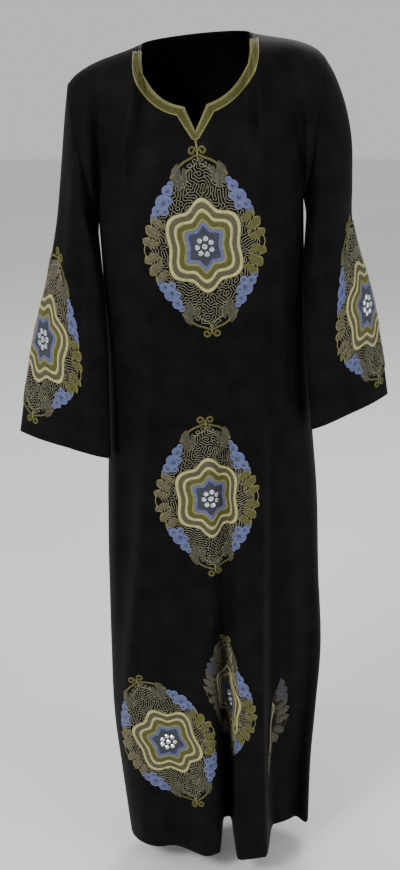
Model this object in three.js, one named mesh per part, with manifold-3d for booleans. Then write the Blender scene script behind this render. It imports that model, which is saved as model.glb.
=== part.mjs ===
// A long black kaftan in its worn shape, held open by the wearer's shoulders.
//
// Frame, in millimetres: +Z up, the wearer faces -Y, and the origin lies between the two
// neck points of the shoulder seams, where the shoulders carry the cloth. "Left" and
// "right" are as seen from the front: left is -X.
//
// Front and back are walls through level sections of a hanging body. Above the underarm
// each column of a panel rolls over the shoulder to its seam or its neckline. The sleeves
// are tubes whose first ring is the armhole. Trim and medallions are made from the
// panels' own points, moved out.

import * as THREE from 'three';
import Module from 'manifold-3d';

const wasm = await Module();
wasm.setup();

// ---------------------------------------------------------------- driving dimensions

const CLOTH = 2.0;              // wall thickness of a cloth panel
const SEAM = 0.3;               // gap between two pieces at a seam, and under what lies on a panel
const SHOULDER_SLOPE = 0.105;   // the shoulder line's fall towards the left, per mm across
const SHOULDER_REACH = 191;     // half the width across the shoulders, at the armhole tops
const UNDERARM_LEVEL = -242;    // the level section that both armholes end on
const LEVEL_AGAIN = -600;       // below this the sections no longer follow the shoulder slope
const HEM_LEVEL = -1410;        // the hem's edge

const NECK_HALF = 80;           // half the width of the neck opening
const NECK_HEIGHT = 9;          // the neck points' height on the seam
const SCOOP_CENTRE = -12;       // where the neckline's round part begins
const SCOOP_DROP = 72;          // depth of the round part below that
const SCOOP_ARC = 97;           // and the length of neckline that it takes up, for its columns
const NOTCH_HALF = 18;          // half the width of the front notch at its top
const NOTCH_BOTTOM = -119;      // the notch's lowest point
const NECK_FORWARD = 100;       // how far forward the chest comes below the neckline
const NECK_ROUNDING = 75;       // the drop over which most of that happens
const BACK_NECK_DEPTH = 52;     // how far back the back neckline runs
const BACK_NECK_RISE = 4;       // and how much it stands above the neck points

const TRIM_WIDTH = 12;          // the corded band round the front neckline
const TRIM_THICK = 1.6;
const MEDALLION_HALF_WIDTH = 95;
const MEDALLION_HALF_HEIGHT = 147;
const MEDALLION_THICK = 1.2;    // the embroidered ground, above the panel
const ROSETTE_HALF_WIDTH = 60;
const ROSETTE_HALF_HEIGHT = 73;
const ROSETTE_THICK = 2.4;      // the padded rosette in its middle, above the panel

// ---------------------------------------------------------------- tables

// Level sections of the body. Square says how much fuller than an ellipse the corners are;
// the side columns say how far back each side seam lies.
const bodySections = [
  { level: -242, centre: 8, halfWidth: 158, front: 128, back: 100, square: 0.50, leftSide: 0, rightSide: 0 },
  { level: -330, centre: 12, halfWidth: 158, front: 125, back: 97, square: 0.48, leftSide: 0, rightSide: 2 },
  { level: -450, centre: 18, halfWidth: 161, front: 117, back: 95, square: 0.42, leftSide: 0, rightSide: 4 },
  { level: -600, centre: 24, halfWidth: 168, front: 110, back: 100, square: 0.34, leftSide: 2, rightSide: 6 },
  { level: -720, centre: 28, halfWidth: 176, front: 106, back: 104, square: 0.28, leftSide: 2, rightSide: 8 },
  { level: -870, centre: 31, halfWidth: 181, front: 101, back: 104, square: 0.25, leftSide: 4, rightSide: 12 },
  { level: -1020, centre: 36, halfWidth: 186, front: 96, back: 100, square: 0.25, leftSide: 4, rightSide: 20 },
  { level: -1150, centre: 35, halfWidth: 183, front: 92, back: 96, square: 0.25, leftSide: 6, rightSide: 28 },
  { level: -1270, centre: 38, halfWidth: 175, front: 88, back: 92, square: 0.25, leftSide: 8, rightSide: 34 },
  { level: -1410, centre: 45, halfWidth: 168, front: 84, back: 90, square: 0.25, leftSide: 10, rightSide: 40 },
];

// Folds of the front. Depth is positive towards the back; a ridge stands forward.
// Width is the half width of a ridge or trough, and of a step's rise; edge is how far a
// trough's or lobe's flank runs.
const frontFolds = [
  { name: 'long left ridge', shape: 'ridge', rows: [
    { level: -250, x: -62, width: 13, depth: 0 },
    { level: -420, x: -70, width: 14, depth: 7 },
    { level: -700, x: -84, width: 15, depth: 11 },
    { level: -1000, x: -114, width: 16, depth: 10 },
    { level: -1200, x: -126, width: 16, depth: 4 },
    { level: -1410, x: -128, width: 16, depth: 0 },
  ] },
  { name: 'left hollow', shape: 'ridge', rows: [
    { level: -250, x: -92, width: 16, depth: 0 },
    { level: -450, x: -106, width: 18, depth: -7 },
    { level: -800, x: -116, width: 16, depth: -8 },
    { level: -1100, x: -138, width: 10, depth: 0 },
  ] },
  { name: 'middle soft fold', shape: 'ridge', rows: [
    { level: -420, x: 8, width: 20, depth: 0 },
    { level: -800, x: -10, width: 24, depth: -6 },
    { level: -1100, x: -30, width: 26, depth: -7 },
    { level: -1410, x: -40, width: 26, depth: -12 },
  ] },
  { name: 'left lobe edge', shape: 'ridge', rows: [
    { level: -850, x: 22, width: 22, depth: 0 },
    { level: -1080, x: 16, width: 26, depth: 10 },
    { level: -1410, x: 21, width: 26, depth: 17 },
  ] },
  { name: 'middle fold line', shape: 'step', rows: [
    { level: -380, x: 46, width: 8, depth: 0 },
    { level: -560, x: 50, width: 8, depth: -7 },
    { level: -800, x: 58, width: 8, depth: -10 },
    { level: -960, x: 60, width: 9, depth: -12 },
    { level: -1410, x: 70, width: 9, depth: -34 },
  ] },
  { name: 'deep valley', shape: 'trough', rows: [
    { level: -430, x: 46, width: 26, edge: 24, depth: 0 },
    { level: -560, x: 47, width: 26, edge: 24, depth: 9 },
    { level: -690, x: 47, width: 26, edge: 24, depth: 14 },
    { level: -850, x: 49, width: 26, edge: 24, depth: 15 },
    { level: -960, x: 50, width: 27, edge: 25, depth: 24 },
    { level: -1080, x: 51, width: 25, edge: 22, depth: 44 },
    { level: -1250, x: 56, width: 19, edge: 13, depth: 76 },
    { level: -1410, x: 59, width: 16, edge: 10, depth: 96 },
  ] },
  { name: 'right recess', shape: 'step', rows: [
    { level: -290, x: 106, width: 9, depth: 0 },
    { level: -420, x: 109, width: 9, depth: 9 },
    { level: -600, x: 113, width: 9, depth: 15 },
    { level: -810, x: 118, width: 9, depth: 27 },
    { level: -1080, x: 124, width: 9, depth: 50 },
    { level: -1410, x: 136, width: 9, depth: 86 },
  ] },
];

const VALLEY = frontFolds.findIndex((fold) => fold.name === 'deep valley');
const RECESS = frontFolds.findIndex((fold) => fold.name === 'right recess');

// Folds of the back, deep on the inside the same way: positive depth is inwards.
const backFolds = [
  { name: 'back left fold', shape: 'ridge', rows: [
    { level: -260, x: -70, width: 20, depth: 0 },
    { level: -700, x: -84, width: 20, depth: -9 },
    { level: -1410, x: -78, width: 22, depth: -16 },
  ] },
  { name: 'back left hollow', shape: 'ridge', rows: [
    { level: -300, x: -30, width: 22, depth: 0 },
    { level: -800, x: -32, width: 22, depth: 9 },
    { level: -1410, x: -20, width: 22, depth: 18 },
  ] },
  { name: 'back middle fold', shape: 'ridge', rows: [
    { level: -260, x: 20, width: 20, depth: 0 },
    { level: -800, x: 24, width: 22, depth: -8 },
    { level: -1410, x: 42, width: 24, depth: -14 },
  ] },
  { name: 'back right hollow', shape: 'ridge', rows: [
    { level: -300, x: 84, width: 18, depth: 0 },
    { level: -900, x: 94, width: 20, depth: 8 },
    { level: -1410, x: 112, width: 20, depth: 14 },
  ] },
  { name: 'back right fold', shape: 'ridge', rows: [
    { level: -400, x: 130, width: 16, depth: 0 },
    { level: -900, x: 148, width: 16, depth: -6 },
    { level: -1410, x: 168, width: 14, depth: -6 },
  ] },
];

// The shoulder seam from neck point to armhole, before the shoulder slope is added.
const shoulderSeam = [
  { out: 80, z: 9 },
  { out: 100, z: 3 },
  { out: 120, z: -2 },
  { out: 140, z: -7 },
  { out: 160, z: -14 },
  { out: 180, z: -25 },
  { out: 191, z: -36 },
];

// Rings of a sleeve below its armhole: the outer edge, the inner edge and the half depth.
// Out and in are distances from the middle of the neck; y is positive to the back.
const leftSleeve = [
  { along: 0.10, outX: 197, outY: 0, outZ: -100, inX: 150, inY: -20, inZ: -285, half: 66 },
  { along: 0.20, outX: 203, outY: -2, outZ: -155, inX: 145, inY: -46, inZ: -316, half: 61 },
  { along: 0.32, outX: 209, outY: -4, outZ: -210, inX: 141, inY: -60, inZ: -352, half: 57 },
  { along: 0.44, outX: 216, outY: -6, outZ: -265, inX: 138, inY: -68, inZ: -396, half: 54 },
  { along: 0.56, outX: 229, outY: -6, outZ: -330, inX: 136, inY: -71, inZ: -445, half: 51 },
  { along: 0.67, outX: 244, outY: -5, outZ: -390, inX: 136, inY: -72, inZ: -495, half: 49 },
  { along: 0.78, outX: 260, outY: -3, outZ: -450, inX: 136, inY: -72, inZ: -546, half: 48 },
  { along: 0.89, outX: 277, outY: 0, outZ: -530, inX: 136, inY: -72, inZ: -588, half: 46 },
  { along: 1.00, outX: 291, outY: 4, outZ: -612, inX: 136, inY: -72, inZ: -632, half: 45 },
];
const rightSleeve = [
  { along: 0.10, outX: 209, outY: 0, outZ: -45, inX: 170, inY: -18, inZ: -252, half: 66 },
  { along: 0.20, outX: 226, outY: -2, outZ: -88, inX: 167, inY: -42, inZ: -284, half: 61 },
  { along: 0.32, outX: 237, outY: -4, outZ: -140, inX: 164, inY: -60, inZ: -320, half: 57 },
  { along: 0.44, outX: 240, outY: -6, outZ: -200, inX: 164, inY: -72, inZ: -364, half: 54 },
  { along: 0.56, outX: 243, outY: -6, outZ: -262, inX: 167, inY: -77, inZ: -412, half: 51 },
  { along: 0.67, outX: 262, outY: -5, outZ: -325, inX: 171, inY: -78, inZ: -460, half: 49 },
  { along: 0.78, outX: 281, outY: -3, outZ: -385, inX: 175, inY: -78, inZ: -506, half: 48 },
  { along: 0.89, outX: 299, outY: 0, outZ: -464, inX: 179, inY: -78, inZ: -540, half: 46 },
  { along: 1.00, outX: 314, outY: 4, outZ: -547, inX: 183, inY: -78, inZ: -580, half: 45 },
];
const ARMHOLE_HALF_DEPTH = 70;   // half the armhole's width, front to back
const SLEEVE_FLATNESS = 0.62;    // how much of its depth the front of a lower ring keeps
const FLAT_FROM = 0.35;          // how far along a sleeve it is that flat
const SLEEVE_TURN = 0.06;        // how far the lower rings face outwards, in radians
const SLEEVE_LIFT = 0.24;        // how much the front of the lower rings is raised, per mm forward

// Soft folds of a sleeve: round is the fraction of the way round from the outer edge,
// over the front; depth is positive outwards.
const sleeveFolds = [
  { round: 0.17, width: 0.040, start: 0.15, depth: 4 },
  { round: 0.27, width: 0.035, start: 0.35, depth: -4 },
  { round: 0.38, width: 0.040, start: 0.10, depth: 5 },
  { round: 0.63, width: 0.045, start: 0.30, depth: -5 },
  { round: 0.78, width: 0.050, start: 0.20, depth: 5 },
];

// Where each medallion lies: its middle as seen from the front, its lean to the left at
// the top in degrees, how much a fold drags its right side down, and how far to the left
// of its middle it comes out of the fold. A flat one lies on the chest, where no fold is.
const frontMedallions = [
  { name: 'medallion_chest', flat: true, x: 13.6, z: -276, lean: 4.9, drag: 0, leftReach: 95, size: 0.97 },
  { name: 'medallion_thigh', x: 24, z: -690, lean: 4, drag: 0, leftReach: 95, size: 0.98 },
  { name: 'medallion_hem_left', x: -49, z: -1170, lean: 24, drag: 0, leftReach: 95, size: 1.0 },
  { name: 'medallion_hem_middle', x: 61, z: -1091, lean: 8, drag: 0.5, leftReach: 95, size: 0.92 },
  { name: 'medallion_hem_right', x: 120, z: -1156, lean: -10, drag: 0, leftReach: -25, size: 1.0 },
];
const sleeveMedallions = [
  { name: 'medallion_sleeve_left', side: 'left', round: 0.125, z: -444, size: 0.98 },
  { name: 'medallion_sleeve_right', side: 'right', round: 0.115, z: -389, size: 0.93 },
];

// Mesh fineness: columns across a panel, rows of its yoke and rows of its skirt.
const FRONT_COLUMNS = 42;
const BACK_COLUMNS = 30;
const YOKE_ROWS = 7;
const SKIRT_ROWS = 17;
const SLEEVE_COLUMNS = 26;
const SLEEVE_ROWS = 12;
const OUTLINE_POINTS = 40;
const ROSETTE_POINTS = 24;
const CLIP_STEPS = 10;          // steps along the edge of a medallion that leaves a fold
const SECTION_STEPS = 600;      // steps along a section when its length is measured

// The front's columns that run down its steep folds.
const VALLEY_TOP_LEFT = 22;
const VALLEY_FLOOR_LEFT = 25;
const VALLEY_FLOOR_RIGHT = 26;
const VALLEY_TOP_RIGHT = 29;
const RECESS_START = 31;
const RECESS_END = 34;

// ---------------------------------------------------------------- small helpers

const mix = (a, b, t) => a + (b - a) * t;
const clamp01 = (t) => Math.min(1, Math.max(0, t));
const vec = (x, y, z) => new THREE.Vector3(x, y, z);

function ease(t) {
  const c = clamp01(t);
  return c * c * (3 - 2 * c);
}

/** One row of a table at any key, on a smooth curve through the rows' columns. */
function readTable(rows, keyName, key) {
  const rising = rows[rows.length - 1][keyName] > rows[0][keyName] ? 1 : -1;
  let i = 0;
  while (i < rows.length - 2 && (key - rows[i + 1][keyName]) * rising > 0) i += 1;
  const before = rows[Math.max(0, i - 1)];
  const from = rows[i];
  const to = rows[i + 1];
  const after = rows[Math.min(rows.length - 1, i + 2)];
  const span = to[keyName] - from[keyName];
  const t = clamp01((key - from[keyName]) / span);
  const result = {};
  for (const column of Object.keys(from)) {
    if (typeof from[column] !== 'number') continue;
    const leave = ((to[column] - before[column]) / (to[keyName] - before[keyName])) * span;
    const arrive = ((after[column] - from[column]) / (after[keyName] - from[keyName])) * span;
    const rest = 1 - t;
    result[column] = from[column] * (1 + 2 * t) * rest * rest + leave * t * rest * rest
      + to[column] * t * t * (3 - 2 * t) - arrive * t * t * rest;
  }
  result[keyName] = key;
  return result;
}

// ---------------------------------------------------------------- the body's sections

function foldsAt(folds, level) {
  return folds.map((fold) => ({ shape: fold.shape, ...readTable(fold.rows, 'level', level) }));
}

function foldDepth(folds, x) {
  let depth = 0;
  for (const fold of folds) {
    const off = x - fold.x;
    if (fold.shape === 'ridge') depth -= fold.depth * Math.exp(-((off / fold.width) ** 2));
    if (fold.shape === 'step') depth += fold.depth * ease(off / (2 * fold.width) + 0.5);
    if (fold.shape === 'trough') depth += fold.depth * ease((fold.width - Math.abs(off)) / fold.edge);
  }
  return depth;
}

/** Everything that one level section needs, with the angle at each fraction of its length. */
const sectionStore = new Map();
function sectionAt(level, face) {
  const key = `${face}${level.toFixed(4)}`;
  if (sectionStore.has(key)) return sectionStore.get(key);
  const section = readTable(bodySections, 'level', level);
  section.face = face;
  section.folds = foldsAt(face === 'front' ? frontFolds : backFolds, level);
  section.slope = SHOULDER_SLOPE * ease((level - LEVEL_AGAIN) / (UNDERARM_LEVEL - LEVEL_AGAIN));
  section.lengths = [0];
  section.angles = [-Math.PI / 2];
  let last = sectionPoint(section, -Math.PI / 2);
  for (let i = 1; i <= SECTION_STEPS; i += 1) {
    const angle = Math.PI * (i / SECTION_STEPS - 0.5);
    const point = sectionPoint(section, angle);
    section.lengths.push(section.lengths[i - 1] + point.distanceTo(last));
    section.angles.push(angle);
    last = point;
  }
  section.length = section.lengths[SECTION_STEPS];
  sectionStore.set(key, section);
  return section;
}

function sectionPoint(section, angle) {
  const across = Math.sin(angle);
  const bulge = Math.cos(angle) * (1 + section.square * across * across);
  const x = section.centre + section.halfWidth * across;
  const side = mix(section.leftSide, section.rightSide, 0.5 + 0.5 * across);
  const fade = 1 - ease((Math.abs(across) - SIDE_FADE) / (1 - SIDE_FADE));
  const inward = foldDepth(section.folds, x) * fade;
  const y = section.face === 'front'
    ? side - section.front * bulge + inward
    : side + section.back * bulge - inward;
  return vec(x, y, section.level + section.slope * x);
}

/** How far along a section's length an x lies, from the left seam. */
function lengthToX(section, x) {
  const across = Math.min(1, Math.max(-1, (x - section.centre) / section.halfWidth));
  const place = (Math.asin(across) / Math.PI + 0.5) * (section.lengths.length - 1);
  const low = Math.min(section.lengths.length - 2, Math.floor(place));
  return mix(section.lengths[low], section.lengths[low + 1], place - low);
}

/** Lengths that the front's columns keep to, so that they run down its steep folds. */
function railsOf(section) {
  if (section.face === 'back') return [[0, 0], [1, section.length]];
  const valley = section.folds[VALLEY];
  const recess = section.folds[RECESS];
  const floor = valley.width - valley.edge;
  const stops = [
    [VALLEY_TOP_LEFT, valley.x - valley.width],
    [VALLEY_FLOOR_LEFT, valley.x - floor],
    [VALLEY_FLOOR_RIGHT, valley.x + floor],
    [VALLEY_TOP_RIGHT, valley.x + valley.width],
    [RECESS_START, recess.x - recess.width],
    [RECESS_END, recess.x + recess.width],
  ];
  const rails = stops.map(([column, x]) => [column / FRONT_COLUMNS, lengthToX(section, x)]);
  return [[0, 0], ...rails, [1, section.length]];
}

/** The point at a fraction of a section's columns, from the left seam to the right one. */
function sectionAtFraction(section, fraction) {
  section.rails ??= railsOf(section);
  let rail = 0;
  while (rail < section.rails.length - 2 && section.rails[rail + 1][0] < fraction) rail += 1;
  const [from, start] = section.rails[rail];
  const [to, end] = section.rails[rail + 1];
  const wanted = mix(start, end, (fraction - from) / (to - from));
  let low = 0;
  let high = section.lengths.length - 1;
  while (high - low > 1) {
    const middle = (low + high) >> 1;
    if (section.lengths[middle] <= wanted) low = middle;
    else high = middle;
  }
  const t = (wanted - section.lengths[low]) / (section.lengths[high] - section.lengths[low]);
  return sectionPoint(section, mix(section.angles[low], section.angles[high], t));
}

// ---------------------------------------------------------------- the yoke

const SEAM_SHARE = 8 / FRONT_COLUMNS;     // columns that end on a shoulder seam
const SCOOP_SHARE = 18 / FRONT_COLUMNS;   // and where the scoop meets the notch
const SIDE_FADE = 0.84;                   // folds die out from here to the side seam
const ARM_SHARE = 0.78;                   // columns from here outwards follow the armhole
const SEAM_DIP = -0.12;                   // how steeply a column leaves its shoulder seam
const NECK_DIP = -0.9;                    // and how steeply it leaves the neckline
const NECK_LEAN = 0.45;                   // its share of a step to the front or back
const NECK_BLEND = 60;                    // the drop over which seam turns into neckline
const BACK_NECK_DIP = 0.55;               // the back neckline's share of that dip,
const BACK_NECK_START = 10;               // which begins this far behind the seams
const BACK_NECK_BLEND = 40;               // and is whole this much further back
const LEAVE_HANDLE = 0.4;                 // lengths of a column's two handles,
const ARRIVE_HANDLE = 0.36;               // as shares of its reach

function shoulderPoint(out, side) {
  const x = side * out;
  return vec(x, 0, readTable(shoulderSeam, 'out', out).z + SHOULDER_SLOPE * x);
}

/** Half of the front neckline, from the neck point (0) to the notch's corner (1). */
function scoopPoint(t, side) {
  const straight = NECK_HEIGHT - SCOOP_CENTRE;
  const corner = Math.acos(NOTCH_HALF / NECK_HALF);
  const drop = t * (straight + SCOOP_ARC);
  if (drop <= straight) return neckSpot(side * NECK_HALF, NECK_HEIGHT - drop);
  const angle = ((drop - straight) / SCOOP_ARC) * corner;
  return neckSpot(side * NECK_HALF * Math.cos(angle), SCOOP_CENTRE - SCOOP_DROP * Math.sin(angle));
}

/** A neckline spot at its place on the chest, which comes forward as it falls. */
function neckSpot(x, z) {
  const forward = NECK_FORWARD * (1 - Math.exp(-(NECK_HEIGHT - z) / NECK_ROUNDING));
  return vec(x, -forward, z + SHOULDER_SLOPE * x);
}

function topPoint(fraction, face) {
  const side = fraction < 0.5 ? -1 : 1;
  const near = fraction < 0.5 ? fraction : 1 - fraction;
  if (near <= SEAM_SHARE) {
    return shoulderPoint(mix(SHOULDER_REACH, NECK_HALF, near / SEAM_SHARE), side);
  }
  if (face === 'back') {
    const angle = (Math.PI * (fraction - SEAM_SHARE)) / (1 - 2 * SEAM_SHARE);
    const x = -NECK_HALF * Math.cos(angle);
    const rise = NECK_HEIGHT + BACK_NECK_RISE * Math.sin(angle) + SHOULDER_SLOPE * x;
    return vec(x, BACK_NECK_DEPTH * Math.sin(angle), rise);
  }
  if (near <= SCOOP_SHARE) return scoopPoint((near - SEAM_SHARE) / (SCOOP_SHARE - SEAM_SHARE), side);
  const t = (near - SCOOP_SHARE) / (0.5 - SCOOP_SHARE);
  const cornerZ = SCOOP_CENTRE - SCOOP_DROP * Math.sin(Math.acos(NOTCH_HALF / NECK_HALF));
  return neckSpot(side * NOTCH_HALF * (1 - t), mix(cornerZ, NOTCH_BOTTOM, t));
}

/** The armhole is one plane oval; half turns run from its top, over the front or back. */
function armhole(side) {
  const top = shoulderPoint(SHOULDER_REACH, side);
  const low = sectionAtFraction(sectionAt(UNDERARM_LEVEL, 'front'), side < 0 ? 0 : 1);
  return { top, low, half: ARMHOLE_HALF_DEPTH };
}
const armholes = { '-1': armhole(-1), 1: armhole(1) };

function armholePoint(side, halfTurns) {
  const { top, low, half } = armholes[side];
  const angle = Math.PI * halfTurns;
  const centre = top.clone().add(low).multiplyScalar(0.5);
  const reach = top.clone().sub(low).multiplyScalar(0.5);
  return centre.addScaledVector(reach, Math.cos(angle)).add(vec(0, -half * Math.sin(angle), 0));
}

/** The way out of the armhole's plane. */
function armholeWay(side) {
  const { top, low } = armholes[side];
  const way = top.clone().sub(low).cross(vec(0, 1, 0)).normalize();
  return way.x * side > 0 ? way : way.negate();
}

function curvePoint(p0, p1, p2, p3, t) {
  const r = 1 - t;
  return vec(0, 0, 0)
    .addScaledVector(p0, r * r * r)
    .addScaledVector(p1, 3 * r * r * t)
    .addScaledVector(p2, 3 * r * t * t)
    .addScaledVector(p3, t * t * t);
}

/** A panel above the underarm: each column leaves its seam level and ends upright. */
function yokePoint(fraction, t, face) {
  const forward = face === 'front' ? -1 : 1;
  const start = topPoint(fraction, face);
  const end = sectionAtFraction(sectionAt(UNDERARM_LEVEL, face), fraction);
  const reach = start.distanceTo(end);
  const edge = Math.abs(2 * fraction - 1);
  const side = fraction < 0.5 ? -1 : 1;
  const seam = readTable(shoulderSeam, 'out', Math.max(NECK_HALF, Math.abs(start.x))).z;
  const below = ease((seam - (start.z - SHOULDER_SLOPE * start.x)) / NECK_BLEND);
  const backNeck = face === 'back' ? ease((start.y - BACK_NECK_START) / BACK_NECK_BLEND) : 0;
  const steep = Math.max(below, BACK_NECK_DIP * backNeck);
  const away = mix(1, NECK_LEAN, steep) * forward;
  const leave = vec(0, away, mix(SEAM_DIP, NECK_DIP, steep)).normalize();
  const arm = ease((edge - ARM_SHARE) / (1 - ARM_SHARE));
  const arrive = vec(0, forward * arm, 1 - arm).normalize();
  const handle = (4 / 3) * ARMHOLE_HALF_DEPTH;
  const p1 = start.clone().addScaledVector(leave, mix(LEAVE_HANDLE * reach, handle, arm));
  const p2 = end.clone().addScaledVector(arrive, mix(ARRIVE_HANDLE * reach, handle, arm));
  const point = curvePoint(start, p1, p2, end, t);
  // The outermost column is the armhole itself, and its neighbours follow it.
  const last = side < 0 ? 0 : 1;
  const edgeStart = topPoint(last, face);
  const edgeEnd = sectionAtFraction(sectionAt(UNDERARM_LEVEL, face), last);
  const e1 = edgeStart.clone().addScaledVector(vec(0, forward, SEAM_DIP).normalize(), handle);
  const e2 = edgeEnd.clone().add(vec(0, forward * handle, 0));
  const plain = curvePoint(edgeStart, e1, e2, edgeEnd, t);
  const wanted = armholePoint(side, -forward * t);
  return point.addScaledVector(wanted.sub(plain), arm);
}

/** A whole panel: v runs from 0 at its top edge to 1 at the underarm and 2 at the hem. */
function panelPoint(fraction, v, face) {
  if (v <= 1) return yokePoint(fraction, v, face);
  return sectionAtFraction(sectionAt(mix(UNDERARM_LEVEL, HEM_LEVEL, v - 1), face), fraction);
}

// ---------------------------------------------------------------- the sleeves

function sleeveRing(side, along) {
  const rows = side < 0 ? leftSleeve : rightSleeve;
  const { top, low, half } = armholes[side];
  const first = {
    along: 0, outX: Math.abs(top.x), outY: top.y, outZ: top.z,
    inX: Math.abs(low.x), inY: low.y, inZ: low.z, half,
  };
  return readTable([first, ...rows], 'along', along);
}

/** A point of a sleeve: round 0 is the outer edge, 0.25 the front, 0.5 the inner edge. */
function sleevePoint(round, along, side) {
  const ring = sleeveRing(side, along);
  const outer = vec(side * ring.outX, ring.outY, ring.outZ);
  const inner = vec(side * ring.inX, ring.inY, ring.inZ);
  const centre = outer.clone().add(inner).multiplyScalar(0.5);
  const reach = outer.sub(inner).multiplyScalar(0.5);
  const turn = SLEEVE_TURN * ease(along);
  let half = ring.half;
  for (const fold of sleeveFolds) {
    const off = (round - fold.round) / fold.width;
    half += fold.depth * Math.exp(-off * off) * ease((along - fold.start) / 0.4);
  }
  const angle = 2 * Math.PI * round;
  const forward = vec(side * Math.sin(turn), -Math.cos(turn), SLEEVE_LIFT * ease(along));
  const point = centre.addScaledVector(reach, Math.cos(angle));
  const bulge = half * Math.sin(angle);
  const flatness = bulge > 0 ? 1 + (SLEEVE_FLATNESS - 1) * ease(along / FLAT_FROM) : 1;
  return point.addScaledVector(forward, bulge * flatness);
}

// ---------------------------------------------------------------- walls

/** The corners of both triangles of one grid cell, in the order that faces outwards. */
function cellTriangles(i, j, turn) {
  const triangles = [
    [[i, j], [i + 1, j + 1], [i + 1, j]],
    [[i, j], [i, j + 1], [i + 1, j + 1]],
  ];
  return turn > 0 ? triangles : triangles.map(([a, b, c]) => [a, c, b]);
}

/** Samples a surface on its grid: outer points, and the way out at each of them. */
function sampleGrid(surface) {
  const count = surface.closed ? surface.columns : surface.columns + 1;
  const points = surface.rows.map((v) => Array.from({ length: count }, (_, i) => {
    const f = i / surface.columns;
    return surface.point(f, v).add(surface.shift(f, v));
  }));
  const ways = points.map((row) => row.map(() => vec(0, 0, 0)));
  const pick = (grid, [i, j]) => grid[j][i % count];
  for (let j = 0; j < points.length - 1; j += 1) {
    for (let i = 0; i < surface.columns; i += 1) {
      for (const corners of cellTriangles(i, j, surface.turn)) {
        for (let k = 0; k < 3; k += 1) {
          const here = pick(points, corners[k]);
          const one = pick(points, corners[(k + 1) % 3]).clone().sub(here);
          const two = pick(points, corners[(k + 2) % 3]).clone().sub(here);
          const angle = one.angleTo(two);
          pick(ways, corners[k]).addScaledVector(one.cross(two).normalize(), angle);
        }
      }
    }
  }
  ways.forEach((row, j) => row.forEach((way, i) => {
    way.normalize();
    surface.trimWay(way, i / surface.columns, surface.rows[j]);
  }));
  return { points, ways };
}

/** A closed wall between two distances from a sampled surface. */
function wallGeometry(surface, from, to) {
  const { points, ways } = surface.grid;
  const rows = points.length;
  const columns = points[0].length;
  const position = [];
  for (const distance of [to, from]) {
    for (let j = 0; j < rows; j += 1) {
      for (let i = 0; i < columns; i += 1) {
        const spot = points[j][i].clone().addScaledVector(ways[j][i], distance);
        position.push(spot.x, spot.y, spot.z);
      }
    }
  }
  const inside = rows * columns;
  const at = (i, j, layer) => layer * inside + j * columns + (i % columns);
  const index = [];
  const quad = (a, b, c, d) => index.push(a, b, c, a, c, d);
  const lastColumn = surface.closed ? columns : columns - 1;
  for (let j = 0; j < rows - 1; j += 1) {
    for (let i = 0; i < lastColumn; i += 1) {
      quad(at(i, j, 0), at(i + 1, j, 0), at(i + 1, j + 1, 0), at(i, j + 1, 0));
      index.push(at(i, j, 1), at(i + 1, j + 1, 1), at(i + 1, j, 1));
      index.push(at(i, j, 1), at(i, j + 1, 1), at(i + 1, j + 1, 1));
    }
  }
  for (let i = 0; i < lastColumn; i += 1) {
    quad(at(i, 0, 0), at(i, 0, 1), at(i + 1, 0, 1), at(i + 1, 0, 0));
    quad(at(i + 1, rows - 1, 0), at(i + 1, rows - 1, 1), at(i, rows - 1, 1), at(i, rows - 1, 0));
  }
  if (!surface.closed) {
    for (let j = 0; j < rows - 1; j += 1) {
      quad(at(0, j + 1, 0), at(0, j + 1, 1), at(0, j, 1), at(0, j, 0));
      const end = columns - 1;
      quad(at(end, j, 0), at(end, j, 1), at(end, j + 1, 1), at(end, j + 1, 0));
    }
  }
  return closedGeometry(position, index);
}

/** A geometry from points and triangles, with its faces turned outwards. */
function closedGeometry(position, index) {
  const corner = (k) => vec(position[3 * k], position[3 * k + 1], position[3 * k + 2]);
  let volume = 0;
  for (let t = 0; t < index.length; t += 3) {
    const a = corner(index[t]);
    volume += a.dot(corner(index[t + 1]).cross(corner(index[t + 2])));
  }
  if (volume < 0) {
    for (let t = 0; t < index.length; t += 3) {
      [index[t + 1], index[t + 2]] = [index[t + 2], index[t + 1]];
    }
  }
  const geometry = new THREE.BufferGeometry();
  geometry.setAttribute('position', new THREE.Float32BufferAttribute(position, 3));
  geometry.setIndex(index);
  geometry.computeVertexNormals();
  return geometry;
}

// ---------------------------------------------------------------- the four cloth surfaces

const yokeRows = Array.from({ length: YOKE_ROWS }, (_, j) => j / YOKE_ROWS);
const skirtRows = Array.from({ length: SKIRT_ROWS + 1 }, (_, j) => 1 + j / SKIRT_ROWS);

function panelSurface(face, columns) {
  const forward = face === 'front' ? -1 : 1;
  const surface = {
    columns,
    rows: [...yokeRows, ...skirtRows],
    closed: false,
    turn: face === 'front' ? 1 : -1,
    point: (f, v) => panelPoint(f, v, face),
    shift: () => vec(0, (forward * SEAM) / 2, 0),
    trimWay: (way, f, v) => {
      const onSeam = (v >= 1 && (f === 0 || f === 1))
        || (v === 0 && Math.min(f, 1 - f) <= SEAM_SHARE + 1e-6);
      if (onSeam) way.y = 0;
      if (v < 1 && (f === 0 || f === 1)) {
        const out = armholeWay(f === 0 ? -1 : 1);
        way.addScaledVector(out, -Math.min(0, way.dot(out)));
      }
      way.normalize();
    },
  };
  surface.grid = sampleGrid(surface);
  return surface;
}

function sleeveSurface(side) {
  const out = armholeWay(side);
  const surface = {
    columns: SLEEVE_COLUMNS,
    rows: Array.from({ length: SLEEVE_ROWS + 1 }, (_, j) => j / SLEEVE_ROWS),
    closed: true,
    turn: side < 0 ? 1 : -1,
    point: (f, v) => sleevePoint(f, v, side),
    shift: () => out.clone().multiplyScalar(1.5 * SEAM),
    trimWay: (way, f, v) => {
      if (v === 0) way.addScaledVector(out, -Math.max(0, way.dot(out)));
      way.normalize();
    },
  };
  surface.grid = sampleGrid(surface);
  return surface;
}

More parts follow.
